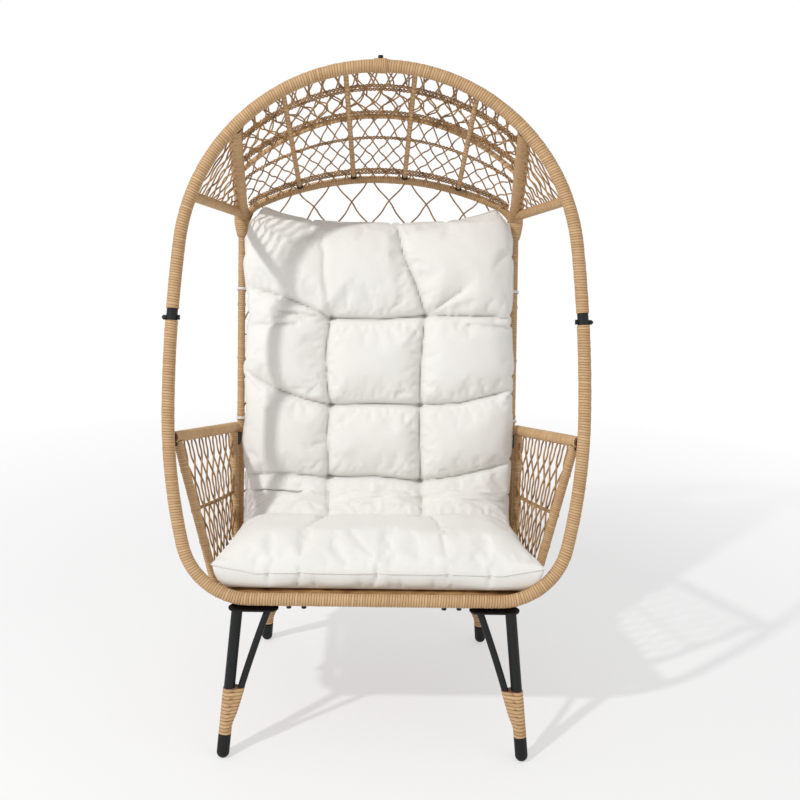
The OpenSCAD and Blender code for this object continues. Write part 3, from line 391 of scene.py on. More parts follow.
def rolled(rings, sides, place, drop=(), extra=None):
    """A grid of rings by sides, rolled into tubes: place(i, j) gives points, map and painted shade"""
    bm = bmesh.new()
    bm.loops.layers.uv.new("UVMap")
    bmesh.ops.create_grid(bm, x_segments=rings, y_segments=sides, size=1.0)
    mesh = bpy.data.meshes.new("piece")
    bm.to_mesh(mesh)
    bm.free()
    flat = gathered(mesh.vertices, "co", 3)
    i, j = np.rint((flat[:, :2] + 1) / 2 * (rings, sides)).astype(int).T
    points, across, along, dip = place(i, j)
    mesh.vertices.foreach_set("co", points.astype(np.float32).ravel())
    corner = gathered(mesh.loops, "vertex_index", kind=np.int32)
    chart = np.stack([across[corner], along[corner]], 1).astype(np.float32)
    mesh.uv_layers["UVMap"].data.foreach_set("uv", chart.ravel())
    # The place's last values are kept as a mark of painted shade for the finish
    marks = {"dip": dip, **(extra(i, j) if extra else {})}
    for mark, values in marks.items():
        made = mesh.attributes.new(mark, "FLOAT", "POINT")
        made.data.foreach_set("value", np.asarray(values, np.float32))
    bm = bmesh.new()
    bm.from_mesh(mesh)
    if len(drop):
        dropped = set(int(d) for d in drop)
        gone = [face for face in bm.faces if min(int(i[v.index]) for v in face.verts) in dropped]
        bmesh.ops.delete(bm, geom=gone, context="FACES")
    bmesh.ops.remove_doubles(bm, verts=bm.verts, dist=2e-5)
    bmesh.ops.dissolve_degenerate(bm, edges=bm.edges, dist=1e-6)
    bmesh.ops.holes_fill(bm, edges=[e for e in bm.edges if e.is_boundary], sides=0)
    bmesh.ops.recalc_face_normals(bm, faces=bm.faces)
    bm.to_mesh(mesh)
    bm.free()
    return mesh


def unit(v):
    """The same vector or vectors, with a length of 1"""
    v = np.asarray(v, float)
    return v / np.linalg.norm(v, axis=-1, keepdims=True)


def mixed(a, b, t):
    """The point t of the way from a to b"""
    return a + t * (b - a)


def measured(points):
    """How far along a line each of its points lies"""
    return np.concatenate([[0], np.cumsum(np.linalg.norm(np.diff(points, axis=0), axis=1))])


def read_at(where, s, table):
    """What a table holds, where its rows lie s along a line"""
    return np.stack([np.interp(where, s, column) for column in table.T], -1)


def evened(points, step=0.004):
    """The same line, with points a step apart"""
    line = np.array(points, float)
    s = measured(line)
    keep = np.concatenate([[True], np.diff(s) > 1e-9])
    line, s = line[keep], s[keep]
    return read_at(np.linspace(0, s[-1], max(2, int(s[-1] / step) + 1)), s, line)


def spaced(loop, count):
    """Points evenly spaced round a closed loop"""
    s = measured(loop)
    return read_at(np.linspace(0, s[-1], count, endpoint=False), s, loop)


class Line:
    """A line through points, measured along its length, with a frame that doesn't twist"""
    def __init__(self, points, up=None):
        self.p = np.array(points, float)
        self.s = measured(self.p)
        self.length = self.s[-1]
        tangent = unit(np.gradient(self.p, self.s, axis=0))
        if up is None:
            up = np.eye(3)[np.argmin(np.abs(tangent[len(tangent) // 2]))]
        self.side = unit(np.cross(tangent, np.broadcast_to(up, tangent.shape)))
        self.up = np.cross(self.side, tangent)

    def ring(self, s, angle, radius):
        centre, side, up = (read_at(s, self.s, table) for table in (self.p, self.side, self.up))
        reach = np.broadcast_to(radius, np.shape(s))[..., None]
        return centre + reach * (np.cos(angle)[..., None] * side + np.sin(angle)[..., None] * up)


# Places across one wound strip, and how high it stands there
STRIP = np.array((0.0, 0.10, 0.32, 0.68, 0.90))
STRIP_HEIGHT = 1 - np.abs(2 * STRIP - 1) ** 5


def wound(line, radius, pitch, depth, seed, sides=24, swell=None):
    """A tube wound with one strip in a helix, as a mesh. swell(s) is added to its radius."""
    stray, uneven = 0.16, 0.45
    turns = int(math.ceil(line.length / pitch)) + 1
    count = len(STRIP)
    shift = np.random.RandomState(seed).uniform(-1, 1, turns * 3 + 8)
    rise = np.random.RandomState(seed + 50).uniform(-1, 1, turns * 2 + 8)

    def place(i, j):
        lap, step = i // count, i % count
        around = j / sides
        lap_at = lap + around
        knots = np.arange(len(shift))
        drift = ((1 - STRIP[step]) * np.interp(lap_at * 2, knots, shift)
                 + STRIP[step] * np.interp(lap_at * 2 + 2, knots, shift))
        s = np.clip((lap_at + STRIP[step] - 1 + stray * drift) * pitch, 0, line.length)
        high = STRIP_HEIGHT[step] * (1 + uneven * np.interp(lap_at, np.arange(len(rise)), rise))
        reach = radius - depth + depth * high
        if swell is not None:
            reach = reach + swell(s)
        # The last value, how low the point lies between two turns, is painted shade in the grooves
        return line.ring(s, around * TAU, reach), around, lap + STRIP[step], 1 - STRIP_HEIGHT[step]

    return rolled(turns * count, sides, place)


def collars(places, size, width, power=4):
    """Raised bands round a tube, as what is added to its radius"""
    at = np.array(places)

    def swell(s):
        near = np.abs(s[..., None] - at) / width
        return size * np.exp(-near ** power).sum(-1)
    return swell


def wound_bar(a, b, inset, radius, pitch, depth, seed, knots=((), 0.0, 1.0), sides=24):
    """A wound straight tube from a to b, cut short by the inset at its ends

    Its knots are their shares of its length, their height and their width."""
    run = unit(b - a)
    line = Line(evened([a + run * inset[0], b - run * inset[1]]))
    shares, size, width = knots
    swell = collars([line.length * k for k in shares], size, width)
    return wound(line, radius, pitch, depth, seed, sides, swell)


def bundle(strands, radius, sides=6):
    """Many thin strands as one mesh. Each strand is its points and their normals, or one for all."""
    points = np.concatenate([p for p, _ in strands])
    normals = np.concatenate([np.broadcast_to(n, p.shape) for p, n in strands])
    tangent = unit(np.concatenate([np.gradient(p, axis=0) for p, _ in strands]))
    # The streaks of each strand start at a place of their own
    along = np.concatenate([measured(p) + 3.7 * k for k, (p, _) in enumerate(strands)])
    side = unit(np.cross(tangent, normals))
    up = np.cross(side, tangent)

    def place(i, j):
        angle = (j / sides * TAU)[:, None]
        at = points[i] + radius * (np.cos(angle) * side[i] + np.sin(angle) * up[i])
        return at, j / sides, along[i] * 100, np.zeros(len(i))

    last = np.cumsum([len(p) for p, _ in strands])[:-1] - 1
    return rolled(len(points) - 1, sides, place, drop=last)


def twisted_pair(p, n, radius, pitch):
    """Two strands twisted round each other along the points p, with normals n"""
    across = unit(np.cross(np.gradient(p, axis=0), n))
    pair = []
    for half in (0, math.pi):
        angle = (measured(p) / pitch * TAU + half)[:, None]
        pair.append((p + radius * (np.cos(angle) * n + np.sin(angle) * across), n))
    return pair


def runs(mask, least):
    """The stretches of a mask that are true and long enough, as lists of indices"""
    index = np.flatnonzero(mask)
    parts = np.split(index, np.flatnonzero(np.diff(index) > 1) + 1)
    return [part for part in parts if len(part) >= least]


def wander(rng, v):
    """Random values from -1 to 1, one at each whole step of v, and what lies between them"""
    knots = np.arange(int(v[-1]) + 1)
    return np.interp(v, knots, rng.uniform(-1, 1, len(knots)))


# ---------- the chair's lines ----------
def leaning(x, s, lean, y, z):
    """Points x across and s up a plane that leans back from its foot at y and z"""
    x, s = np.broadcast_arrays(np.asarray(x, float), np.asarray(s, float))
    return np.stack([x, y + s * math.sin(lean), z + s * math.cos(lean)], -1)


def hoop_at(x, s):
    """The point x across and s up the hoop's plane"""
    f = bpy.context.scene.chair_frame
    return leaning(x, s, f.hoop_lean, -f.middle, f.bar_z)


def back_at(x, s):
    """The point x across and s up the back frame's plane"""
    f = bpy.context.scene.chair_frame
    return leaning(x, s, f.back_lean, f.back_y - f.middle, f.rail_z + f.tube_r)


def ahead(lean):
    """The way that a plane with this lean faces"""
    return np.array((0, -math.cos(lean), math.sin(lean)))


def crown_at(angle):
    """The point of the hoop's round top at an angle from its crown"""
    f = bpy.context.scene.chair_frame
    return hoop_at(f.top_r * np.sin(angle), f.top_h + f.top_r * np.cos(angle))


def arc(cx, cy, r, start, end, count=60):
    """Points of a circle round cx, cy, from one angle to another"""
    a = np.linspace(start, end, count)
    return np.stack([cx + r * np.cos(a), cy + r * np.sin(a)], 1)


def hoop_outline():
    """The right half of the hoop's centre line in its own plane, from the bar's middle to the crown"""
    f = bpy.context.scene.chair_frame
    k, h = f.hoop_half - f.bar_half, f.widest - f.corner
    low_r = (k * k + h * h - f.corner ** 2) / (2 * (k - f.corner))
    low_a = math.asin(h / (low_r - f.corner))
    rise = f.top_h - f.widest
    high_r = (f.hoop_half ** 2 + rise ** 2 - f.top_r ** 2) / (2 * (f.hoop_half - f.top_r))
    high_a = math.asin(rise / (high_r - f.top_r))
    return np.concatenate([
        [(0, 0)], arc(f.bar_half, f.corner, f.corner, -math.pi / 2, -low_a),
        arc(f.hoop_half - low_r, f.widest, low_r, -low_a, 0),
        arc(f.hoop_half - high_r, f.widest, high_r, 0, high_a),
        arc(0, f.top_h, f.top_r, high_a, math.pi / 2, 160)])


def hoop_x(s):
    """Half of the hoop's width at the height s of its plane"""
    outline = hoop_outline()
    keep = outline[:, 1] > 0.001
    return float(np.interp(s, outline[keep, 1], outline[keep, 0]))


def back_outline():
    """The right half of the back frame's centre line, from its top's middle to its foot"""
    f = bpy.context.scene.chair_frame
    centre = f.back_h - f.back_arc
    cx = f.back_half - f.back_corner
    ch = centre + math.sqrt((f.back_arc - f.back_corner) ** 2 - cx ** 2)
    a = math.atan2(ch - centre, cx)
    return np.concatenate([arc(0, centre, f.back_arc, math.pi / 2, a),
                           arc(cx, ch, f.back_corner, a, 0), [(f.back_half, 0.0003)]])


def mirrored(half):
    """A line with its mirror image before it"""
    return np.concatenate([half[::-1] * (-1, 1), half[1:]])


def sided(p, side):
    """A point on the side of positive X, moved to the side asked for"""
    return np.asarray(p, float) * (side, 1, 1)


class Places:
    """The points that the chair's pieces share, on the side of positive X"""
    def __init__(self):
        f = bpy.context.scene.chair_frame
        self.post_hi = crown_at(f.post_a)
        self.post_lo = back_at(f.back_half, f.sleeve_top - f.sleeve_len / 3.5)
        self.edge_hi = crown_at(f.edge_a)
        self.edge_lo = mixed(self.post_hi, self.post_lo, f.edge_share)
        centre = f.back_h - f.back_arc

        def rear(x):
            return back_at(x, centre + math.sqrt(f.back_arc ** 2 - x * x))
        self.rib_hi = [crown_at(f.rib_inner), crown_at(f.rib_outer)]
        self.rib_lo = [rear(f.rib_inner_x), rear(f.rib_outer_x)]
        # The middle arc rides on the ribs
        self.crown_up = unit(np.cross((1, 0, 0), rear(0.0) - crown_at(0.0)))
        self.mid_top = (mixed(crown_at(0.0), rear(0.0), f.mid_share)
                        + (2 * f.rib_r + 0.0003) * self.crown_up)
        self.mid_end = mixed(self.post_hi, self.post_lo, f.mid_end)
        # Each arm rail starts inside the hoop and ends outside and before the upright
        inward, out, before = 0.004, 0.011, 0.026
        self.arm_front = hoop_at(hoop_x(f.arm_h) - inward, f.arm_h)
        self.arm_rear = (back_at(f.back_half + out, f.arm_rear / math.cos(f.back_lean))
                         - np.array((0, before, 0)))
        # Its posts stand on brackets outside the seat frame, in from its front and rear rails
        front_out, front_in, rear_out, rear_in = 0.024, 0.084, 0.011, 0.044
        front_y, rear_y = f.rail_y - f.middle, f.rail_y + f.seat_depth - f.middle
        self.front_foot = np.array((f.seat_half + front_out, front_y + front_in, f.rail_z))
        self.rear_foot = np.array((f.seat_half + rear_out, rear_y - rear_in, f.rail_z))
        along = unit(self.arm_rear - self.arm_front)
        self.front_top = self.arm_front + along * (f.tube_r + f.arm_post_r + 0.008)
        self.rear_top = self.arm_rear - along * (f.arm_post_r + 0.002)


SIDES = {"left": -1, "right": 1}


def canopy_tables():
    """Where the canopy's lines run: q counts bays from the middle, 2.5 at a post"""
    f = bpy.context.scene.chair_frame
    q = np.array((0.0, 0.5, 1.5, 2.5))
    angle = np.array((0.0, f.rib_inner, f.rib_outer, f.post_a))
    outline = back_outline()
    s = measured(outline)
    inner, outer = (f.back_arc * math.asin(x / f.back_arc) for x in (f.rib_inner_x, f.rib_outer_x))
    end = float(s[np.argmax(outline[:, 1] < f.sleeve_top - 0.002)])
    return q, angle, np.array((0.0, inner, outer, end)), outline, s


def canopy_surface(q, t):
    """Points of the canopy and their outward normals"""
    qs, angle, reach, outline, s = canopy_tables()

    def points(q, t):
        sign, size = np.sign(q), np.abs(q)
        top = crown_at(sign * np.interp(size, qs, angle))
        run = np.interp(size, qs, reach)
        low = back_at(sign * np.interp(run, s, outline[:, 0]), np.interp(run, s, outline[:, 1]))
        return top + np.asarray(t)[..., None] * (low - top)
    q, t = np.broadcast_arrays(np.asarray(q, float), np.asarray(t, float))
    e = 1e-3
    normal = unit(np.cross(points(q + e, t) - points(q - e, t), points(q, t + e) - points(q, t - e)))
    return points(q, t), normal * np.sign(normal[..., 2:3])


def three_point_arc(a, b, c, count=120):
    """Points along the circle through three points, from a by b to c"""
    a, b, c = (np.asarray(p, float) for p in (a, b, c))
    u, v = b - a, c - a
    n = np.cross(u, v)
    centre = a + np.cross(np.dot(u, u) * v - np.dot(v, v) * u, n) / (2 * np.dot(n, n))
    x = unit(a - centre)
    y = np.cross(unit(n), x)
    full = math.atan2(np.dot(c - centre, y), np.dot(c - centre, x)) % TAU
    t = np.linspace(0, full, count)[:, None]
    return centre + np.linalg.norm(a - centre) * (np.cos(t) * x + np.sin(t) * y)


# ---------- operators ----------
class Maker:
    """Gives each operator its undo step"""
    bl_options = {"REGISTER", "UNDO"}


class CHAIR_OT_finishes(Maker, bpy.types.Operator):
    """Make the chair's materials and give the steel pieces theirs"""
    bl_idname = "egg_chair.finishes"
    bl_label = "Materials"

    def execute(self, context):
        look = context.scene.chair_finish
        wicker_finish("wound wicker", look.wicker_light, look.wicker_dark, look.groove)
        strand_finish("woven strand", look.strand_light, look.strand_dark)
        steel_finish("black powder coat", look.steel, 0.5)
        steel_finish("black rubber", tuple(c * 0.8 for c in look.steel), 0.6)
        cloth_finish("cushion cloth", look.cloth)
        for name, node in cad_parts.items():
            kind = "black rubber" if name.startswith("foot_cap") else "black powder coat"
            if name == "seat_deck":
                kind = "woven strand"
            node.data.materials.clear()
            node.data.materials.append(bpy.data.materials[kind])
        return {"FINISHED"}


class CHAIR_OT_hoop(Maker, bpy.types.Operator):
    """Wind the hoop, the seat frame and the back frame"""
    bl_idname = "egg_chair.hoop"
    bl_label = "Hoop and Frames"

    def execute(self, context):
        f, w = context.scene.chair_frame, context.scene.chair_wicker
        # The hoop's two windings end at the bare tube beside each joint
        half = hoop_outline()
        low_end, high_start = f.joint_h - f.bare / 2, f.joint_h + f.bare / 2
        low = np.concatenate([half[half[:, 1] < low_end - 1e-4], [(hoop_x(low_end), low_end)]])
        high = np.concatenate([[(hoop_x(high_start), high_start)],
                               half[half[:, 1] > high_start + 1e-4]])
        high = np.concatenate([high, high[::-1][1:] * (-1, 1)])
        for word, flat, seed in (("lower", mirrored(low), 3), ("upper", high, 4)):
            line = Line(evened(hoop_at(*flat.T)), ahead(f.hoop_lean))
            mesh = wound(line, f.tube_r, w.pitch, w.depth, seed)
            dress(f"{word}_hoop_winding", mesh, "wicker", f"{word}_hoop_wrap")
        # Seat frame, a closed rectangle
        x, r = f.seat_half - f.seat_corner, f.seat_corner
        y0, y1 = f.rail_y + r - f.middle, f.rail_y + f.seat_depth - r - f.middle
        loop = [[(0, y1 + r)]]
        for k, corner in enumerate(((x, y1), (x, y0), (-x, y0), (-x, y1))):
            loop.append(arc(*corner, r, (1 - k) * math.pi / 2, -k * math.pi / 2, 20))
        loop = np.concatenate([*loop, [(-0.0002, y1 + r)]])
        line = Line(evened(np.column_stack([loop, np.full(len(loop), f.rail_z)])), (0, 0, 1))
        mesh = wound(line, f.tube_r, w.pitch * 1.3, w.depth, 5, sides=16)
        dress("seat_frame_winding", mesh, "wicker", "seat_frame_wrap")
        # Back frame, with raised bands where the net is tied to it
        line = Line(evened(back_at(*mirrored(back_outline()).T)), ahead(f.back_lean))
        bands = np.array((0.20, 0.37, 0.55, 0.72)) * 0.8
        swell = collars(np.concatenate([bands, line.length - bands]), 0.0014, 0.004, 2)
        mesh = wound(line, f.back_r, w.fine, w.depth * 0.8, 6, sides=16, swell=swell)
        dress("back_frame_winding", mesh, "wicker", "back_frame_wrap")
        # The raised winding on the crown
        half_wide, proud = 0.014, 0.0022
        line = Line(crown_at(np.linspace(-1, 1, 12) * half_wide / f.top_r), ahead(f.hoop_lean))
        mesh = wound(line, f.tube_r + proud, w.pitch * 0.8, w.depth, 7)
        dress("crown_winding", mesh, "wicker", "crown_saddle")
        return {"FINISHED"}


class CHAIR_OT_canopy(Maker, bpy.types.Operator):
    """Make the canopy's posts, arcs and ribs and weave its net"""
    bl_idname = "egg_chair.canopy"
    bl_label = "Canopy"

    def execute(self, context):
        f, w, at = context.scene.chair_frame, context.scene.chair_wicker, Places()
        self.tubes(f, w, at)
        self.sleeves(f, w)
        self.ribs(f, at)
        self.nets(f, w)
        self.ears(f, w, at)
        return {"FINISHED"}

    def tubes(self, f, w, at):
        """The posts, with their raised bands, and the lower edge tubes"""
        bands = ((0.18, 0.42, 0.66, 0.86), 0.0012, 0.004)
        for word, side in SIDES.items():
            mesh = wound_bar(sided(at.post_hi, side), sided(at.post_lo, side), (0.008, 0.0), f.post_r,
                             w.pitch * 0.9, w.depth * 0.35, 10 + side, bands)
            dress(f"canopy_post_{word}_winding", mesh, "wicker", "canopy_wraps")
            mesh = wound_bar(sided(at.edge_hi, side), sided(at.edge_lo, side), (0.005, 0.006),
                             f.edge_r, w.pitch * 0.9, w.depth * 0.35, 14 + side, sides=20)
            dress(f"canopy_edge_{word}_winding", mesh, "wicker", "canopy_wraps")

    def sleeves(self, f, w):
        """Sleeves that taper down to the uprights, with rings at their lower end"""
        skin, over_top = 0.002, 0.004
        swelling = f.sleeve_r - f.back_r - skin
        rings = collars((0.004, 0.010, 0.017), 0.0012, 0.0022, 2)

        def swell(s):
            rise = np.clip(s / f.sleeve_len, 0, 1)
            body = swelling * np.sin(np.clip(rise * 1.6, 0, 1) * math.pi / 2) ** 1.3
            close = np.clip((rise - 0.82) / 0.25, 0, 1) ** 2
            return body * (1 - 0.35 * close) + rings(s)
        for word, side in SIDES.items():
            ends = (f.sleeve_top - f.sleeve_len, f.sleeve_top + over_top)
            line = Line(evened(back_at(side * f.back_half, ends), 0.003))
            mesh = wound(line, f.back_r + skin, w.fine, w.depth * 0.5, 18 + side, swell=swell)
            dress(f"canopy_sleeve_{word}", mesh, "wicker", "canopy_sleeves")

    def ribs(self, f, at):
        """The middle arc and the four ribs under it, thin canes with knots"""
        pitch, depth, sides = 0.012, 0.0002, 14
        line = Line(evened(three_point_arc(sided(at.mid_end, -1), at.mid_top, at.mid_end)), at.crown_up)
        knots = collars(np.linspace(0.04, line.length - 0.04, 9), 0.0006, 0.003)
        mesh = wound(line, f.rib_r, pitch, depth, 22, sides, knots)
        dress("canopy_mid_arc_cane", mesh, "wicker", "canopy_mid_arc")
        for number, (which, side) in enumerate(((1, -1), (0, -1), (0, 1), (1, 1)), 1):
            mesh = wound_bar(sided(at.rib_hi[which], side), sided(at.rib_lo[which], side),
                             (0.010, 0.007), f.rib_r, pitch, depth, 24 + number,
                             ((0.16, 0.43, 0.60), 0.0014, 0.0045), sides)
            dress(f"canopy_rib_{number}_cane", mesh, "wicker", f"canopy_rib_{number}")

    def nets(self, f, w):
        """Diagonal strands that pass over and under each other, held by twisted bands"""
        width, bays, deep, steps = 1.0 / w.per_bay, 5, 11, 14
        # Rows of diamonds, and how far down the canopy they lie as a share of its depth
        rows = np.array((0.0, 1.0, 4.0, 6.0, 10.0, 11.0))
        shares = np.array((0.035, 0.17, 0.385, 0.60, 0.90, 0.985))
        bands = {"front": (0.155, 0.185, 0.372, 0.402), "rear": (0.60, 0.90, 0.93)}
        # The strands end inside the windings of the posts
        last = 2.485
        rng = np.random.RandomState(11)
        split = float(np.interp(f.mid_share, shares, rows))
        nets = {"front": [], "rear": []}
        v = np.linspace(0, deep, deep * steps + 1)
        spans = int(round((bays + deep * width / 2) / width)) + 2
        for way in (-1, 1):
            for k in range(-spans, spans + 1):
                wave = 0.035 * np.sin(TAU * v) + 0.5
                q = k * width + way * (v + wave) * width / 2 + 0.022 * wander(rng, v)
                t = np.interp(v, rows, shares) + 0.006 * wander(rng, v)
                inside = np.abs(q) < last
                lift = way * 1.05 * w.strand * np.cos(math.pi * (v - 0.5))
                # In front each strand has a twin that strays from it between the bands
                twin = q + 0.034 + 0.028 * np.sin(math.pi * v + k)
                for at, mask, part in ((q, v <= split, "front"), (twin, v <= split, "front"),
                                       (q, v >= split, "rear")):
                    for run in runs(mask & inside & (np.abs(at) < last), 6):
                        p, n = canopy_surface(at[run], t[run])
                        nets[part].append((p + lift[run][:, None] * n, n))
        q = np.linspace(-last, last, 900)
        for part, strands in nets.items():
            for share_at in bands[part]:
                strands += twisted_pair(*canopy_surface(q, share_at), w.strand * 1.25, w.twist)
            dress(f"canopy_{part}_weave", bundle(strands, w.strand * 0.95), "strand",
                  f"canopy_{part}_net")

    def ears(self, f, w, at):
        """The woven corner between each post and its edge tube"""
        for word, side in SIDES.items():
            post = [sided(at.post_hi, side), sided(at.post_lo, side)]
            edge = [sided(at.edge_hi, side), sided(at.edge_lo, side)]
            normal = unit(np.cross(post[1] - post[0], edge[0] - post[0])) * side
            t = np.linspace(0, 1, 30)[:, None]
            strands = []
            rng = np.random.RandomState(31)
            for k in range(9):
                # Where each strand starts on the post and ends on the edge tube
                for way, start, end in ((1, 0.10 + 0.095 * k, 0.02 + 0.085 * k),
                                        (-1, 0.04 + 0.09 * k, 0.16 + 0.09 * k)):
                    if end > 0.86 or start > 0.9:
                        continue
                    a = mixed(*post, start + rng.uniform(-0.01, 0.01))
                    b = mixed(*edge, end + rng.uniform(-0.01, 0.01))
                    run = unit(b - a)
                    a, b = a + run * f.post_r * 0.8, b - run * f.edge_r * 0.8
                    wave = np.sin(t * math.pi * 5 + k) * 0.0022
                    lift = way * np.sin(t * math.pi * 4) * w.strand + way * 0.0006
                    p = mixed(a, b, t) + wave * unit(np.cross(run, normal)) + lift * normal
                    strands.append((p, normal))
            dress(f"ear_weave_{word}", bundle(strands, w.strand * 0.95), "strand", f"ear_net_{word}")


class CHAIR_OT_back(Maker, bpy.types.Operator):
    """Weave the back panel"""
    bl_idname = "egg_chair.back"
    bl_label = "Back Panel"

    def execute(self, context):
        f, w = context.scene.chair_frame, context.scene.chair_wicker
        outline = back_outline()
        xs, hs = outline[outline[:, 1] > 0.5].T
        half = f.back_half - f.back_r * 0.2
        normal = ahead(f.back_lean)
        # Rows of diamonds, how wide each is, and how far up the first row starts
        rows, width, low, steps = 14, 0.095, 0.012, 10
        v = np.linspace(0, rows, rows * steps + 1)
        rng = np.random.RandomState(41)
        strands = []
        for way in (-1, 1):
            for k in range(-14, 15):
                x = k * width - 0.022 + way * (v - 0.2 - 0.05 * np.sin(TAU * v)) * width / 2
                x = x + 0.0016 * wander(rng, v)
                top = np.interp(np.abs(x), xs, hs) - f.back_r * 0.7
                h = low + (top - low) * v / rows
                lift = way * 1.05 * w.strand * np.cos(math.pi * v)
                for run in runs(np.abs(x) < half, 4):
                    p = back_at(x[run], h[run]) + lift[run][:, None] * normal
                    strands.append((p, normal))
        dress("back_weave", bundle(strands, w.strand), "strand", "back_net")
        return {"FINISHED"}


class CHAIR_OT_arms(Maker, bpy.types.Operator):
    """Braid the arm rails, wind their posts and weave the panels between them"""
    bl_idname = "egg_chair.arms"
    bl_label = "Arms"

    def execute(self, context):
        f, w, at = context.scene.chair_frame, context.scene.chair_wicker, Places()
        sunk = f.arm_rail_r * 0.8
        for word, side in SIDES.items():
            front, rear = sided(at.arm_front, side), sided(at.arm_rear, side)
            run = unit(rear - front)
            line = Line(evened([front + run * (f.tube_r + 0.001), rear]), (0, 0, 1))
            dress(f"arm_rail_{word}_braid", braid(line, f.arm_rail_r), "wicker", "arm_wraps")
            tops = (sided(at.front_top, side), sided(at.rear_top, side))
            feet = (sided(at.front_foot, side), sided(at.rear_foot, side))
            for end, foot, top in zip(("front", "rear"), feet, tops):
                mesh = wound_bar(foot, top, (0.0, sunk), f.arm_post_r, w.fine, w.depth * 0.5,
                                 50 + side, ((0.30, 0.52, 0.80), 0.0012, 0.0035), 18)
                dress(f"arm_post_{end}_{word}_winding", mesh, "wicker", "arm_wraps")
            dress(f"arm_weave_{word}", self.panel(w, side, feet, tops, sunk), "strand",
                  f"arm_net_{word}")
        return {"FINISHED"}

    def panel(self, w, side, feet, tops, sunk):
        """Pairs of strands across the space between the posts, with one twisted band"""
        low, top = [], []
        for foot, head in zip(feet, tops):
            up = unit(head - foot)
            low.append(foot + up * 0.02)
            top.append(head - up * sunk)
        normal = unit(np.cross(low[1] - low[0], top[0] - low[0])) * side

        def surface(u, v):
            under = mixed(*low, u[:, None])
            return under + v[:, None] * (mixed(*top, u[:, None]) - under)
        columns, rows, steps, inside = 8, 6, 14, (0.03, 0.97)
        v = np.linspace(0, rows, rows * steps + 1)
        rng = np.random.RandomState(61)
        strands = []
        for way in (-1, 1):
            for k in range(-columns, 2 * columns):
                jitter = 0.010 * wander(rng, v)
                u = (k + way * (v + 0.07 * np.sin(TAU * v)) / 2) / columns + jitter
                lift = way * 1.1 * w.strand * np.cos(math.pi * v)
                for run in runs((u > inside[0]) & (u < inside[1]), 5):
                    base = surface(u[run], v[run] / rows)
                    across = unit(np.cross(np.gradient(base, axis=0), normal))
                    for off in (-0.95, 0.95):
                        p = base + lift[run][:, None] * normal + off * w.strand * across
                        strands.append((p, normal))
        # The band falls a little towards the back
        u = np.linspace(*inside, 160)
        strands += twisted_pair(surface(u, 0.50 - 0.11 * u), normal, w.strand * 1.5, w.twist)
        return bundle(strands, w.strand * 0.85)


def braid(line, radius):
    """A braided sleeve: rows of small pads, each beside the gaps of the next row"""
    pads, pitch, sides, depth = 11, 0.0075, 88, 0.0012
    rings = int(line.length / pitch * 8)

    def place(i, j):
        s = i / rings * line.length
        around = j / sides
        lap = s / pitch
        level = np.floor(lap)
        groove = np.abs(2 * (lap - level) - 1) ** 4
        over = np.abs(np.sin(math.pi * (around * pads + 0.5 * (level % 2))))
        gap = (1 - over) ** 2
        high = (1 - 0.75 * groove) * (0.45 + 0.55 * over)
        points = line.ring(s, around * TAU, radius - depth * (1 - high))
        # The last value is painted shade, darker in the grooves between rows and the gaps between pads
        return points, around, lap, np.clip(0.25 * groove + 1.1 * gap * (0.25 + groove), 0, 1)

    return rolled(rings, sides, place)


class CHAIR_OT_legs(Maker, bpy.types.Operator):
    """Bind the legs and their braces"""
    bl_idname = "egg_chair.legs"
    bl_label = "Legs"

    def execute(self, context):
        f = context.scene.chair_frame
        # A leg's tube runs from its foot, which is splayed, up to its plate
        splay_x, splay_y, plate_z = 0.030, 0.078, 0.3247
        tube_r, brace_r, skin = 0.0125, 0.00775, 0.002
        ends = {"front": (0.307, f.rail_y - 0.016, -1),
                "rear": (0.262, f.rail_y + f.seat_depth - 0.006, 1)}
        for end, (top_x, top_y, outward) in ends.items():
            for word, side in SIDES.items():
                def leg_at(z):
                    down = 1 - z / plate_z
                    return np.array((side * (top_x + splay_x * down),
                                     top_y + outward * splay_y * down - f.middle, z))
                mesh = binding(leg_at, tube_r + skin, brace_r + skin, -side, tube_r + brace_r + 0.0054)
                dress(f"leg_binding_{end}_{word}", mesh, "wicker", f"leg_wrap_{end}_{word}")
        return {"FINISHED"}


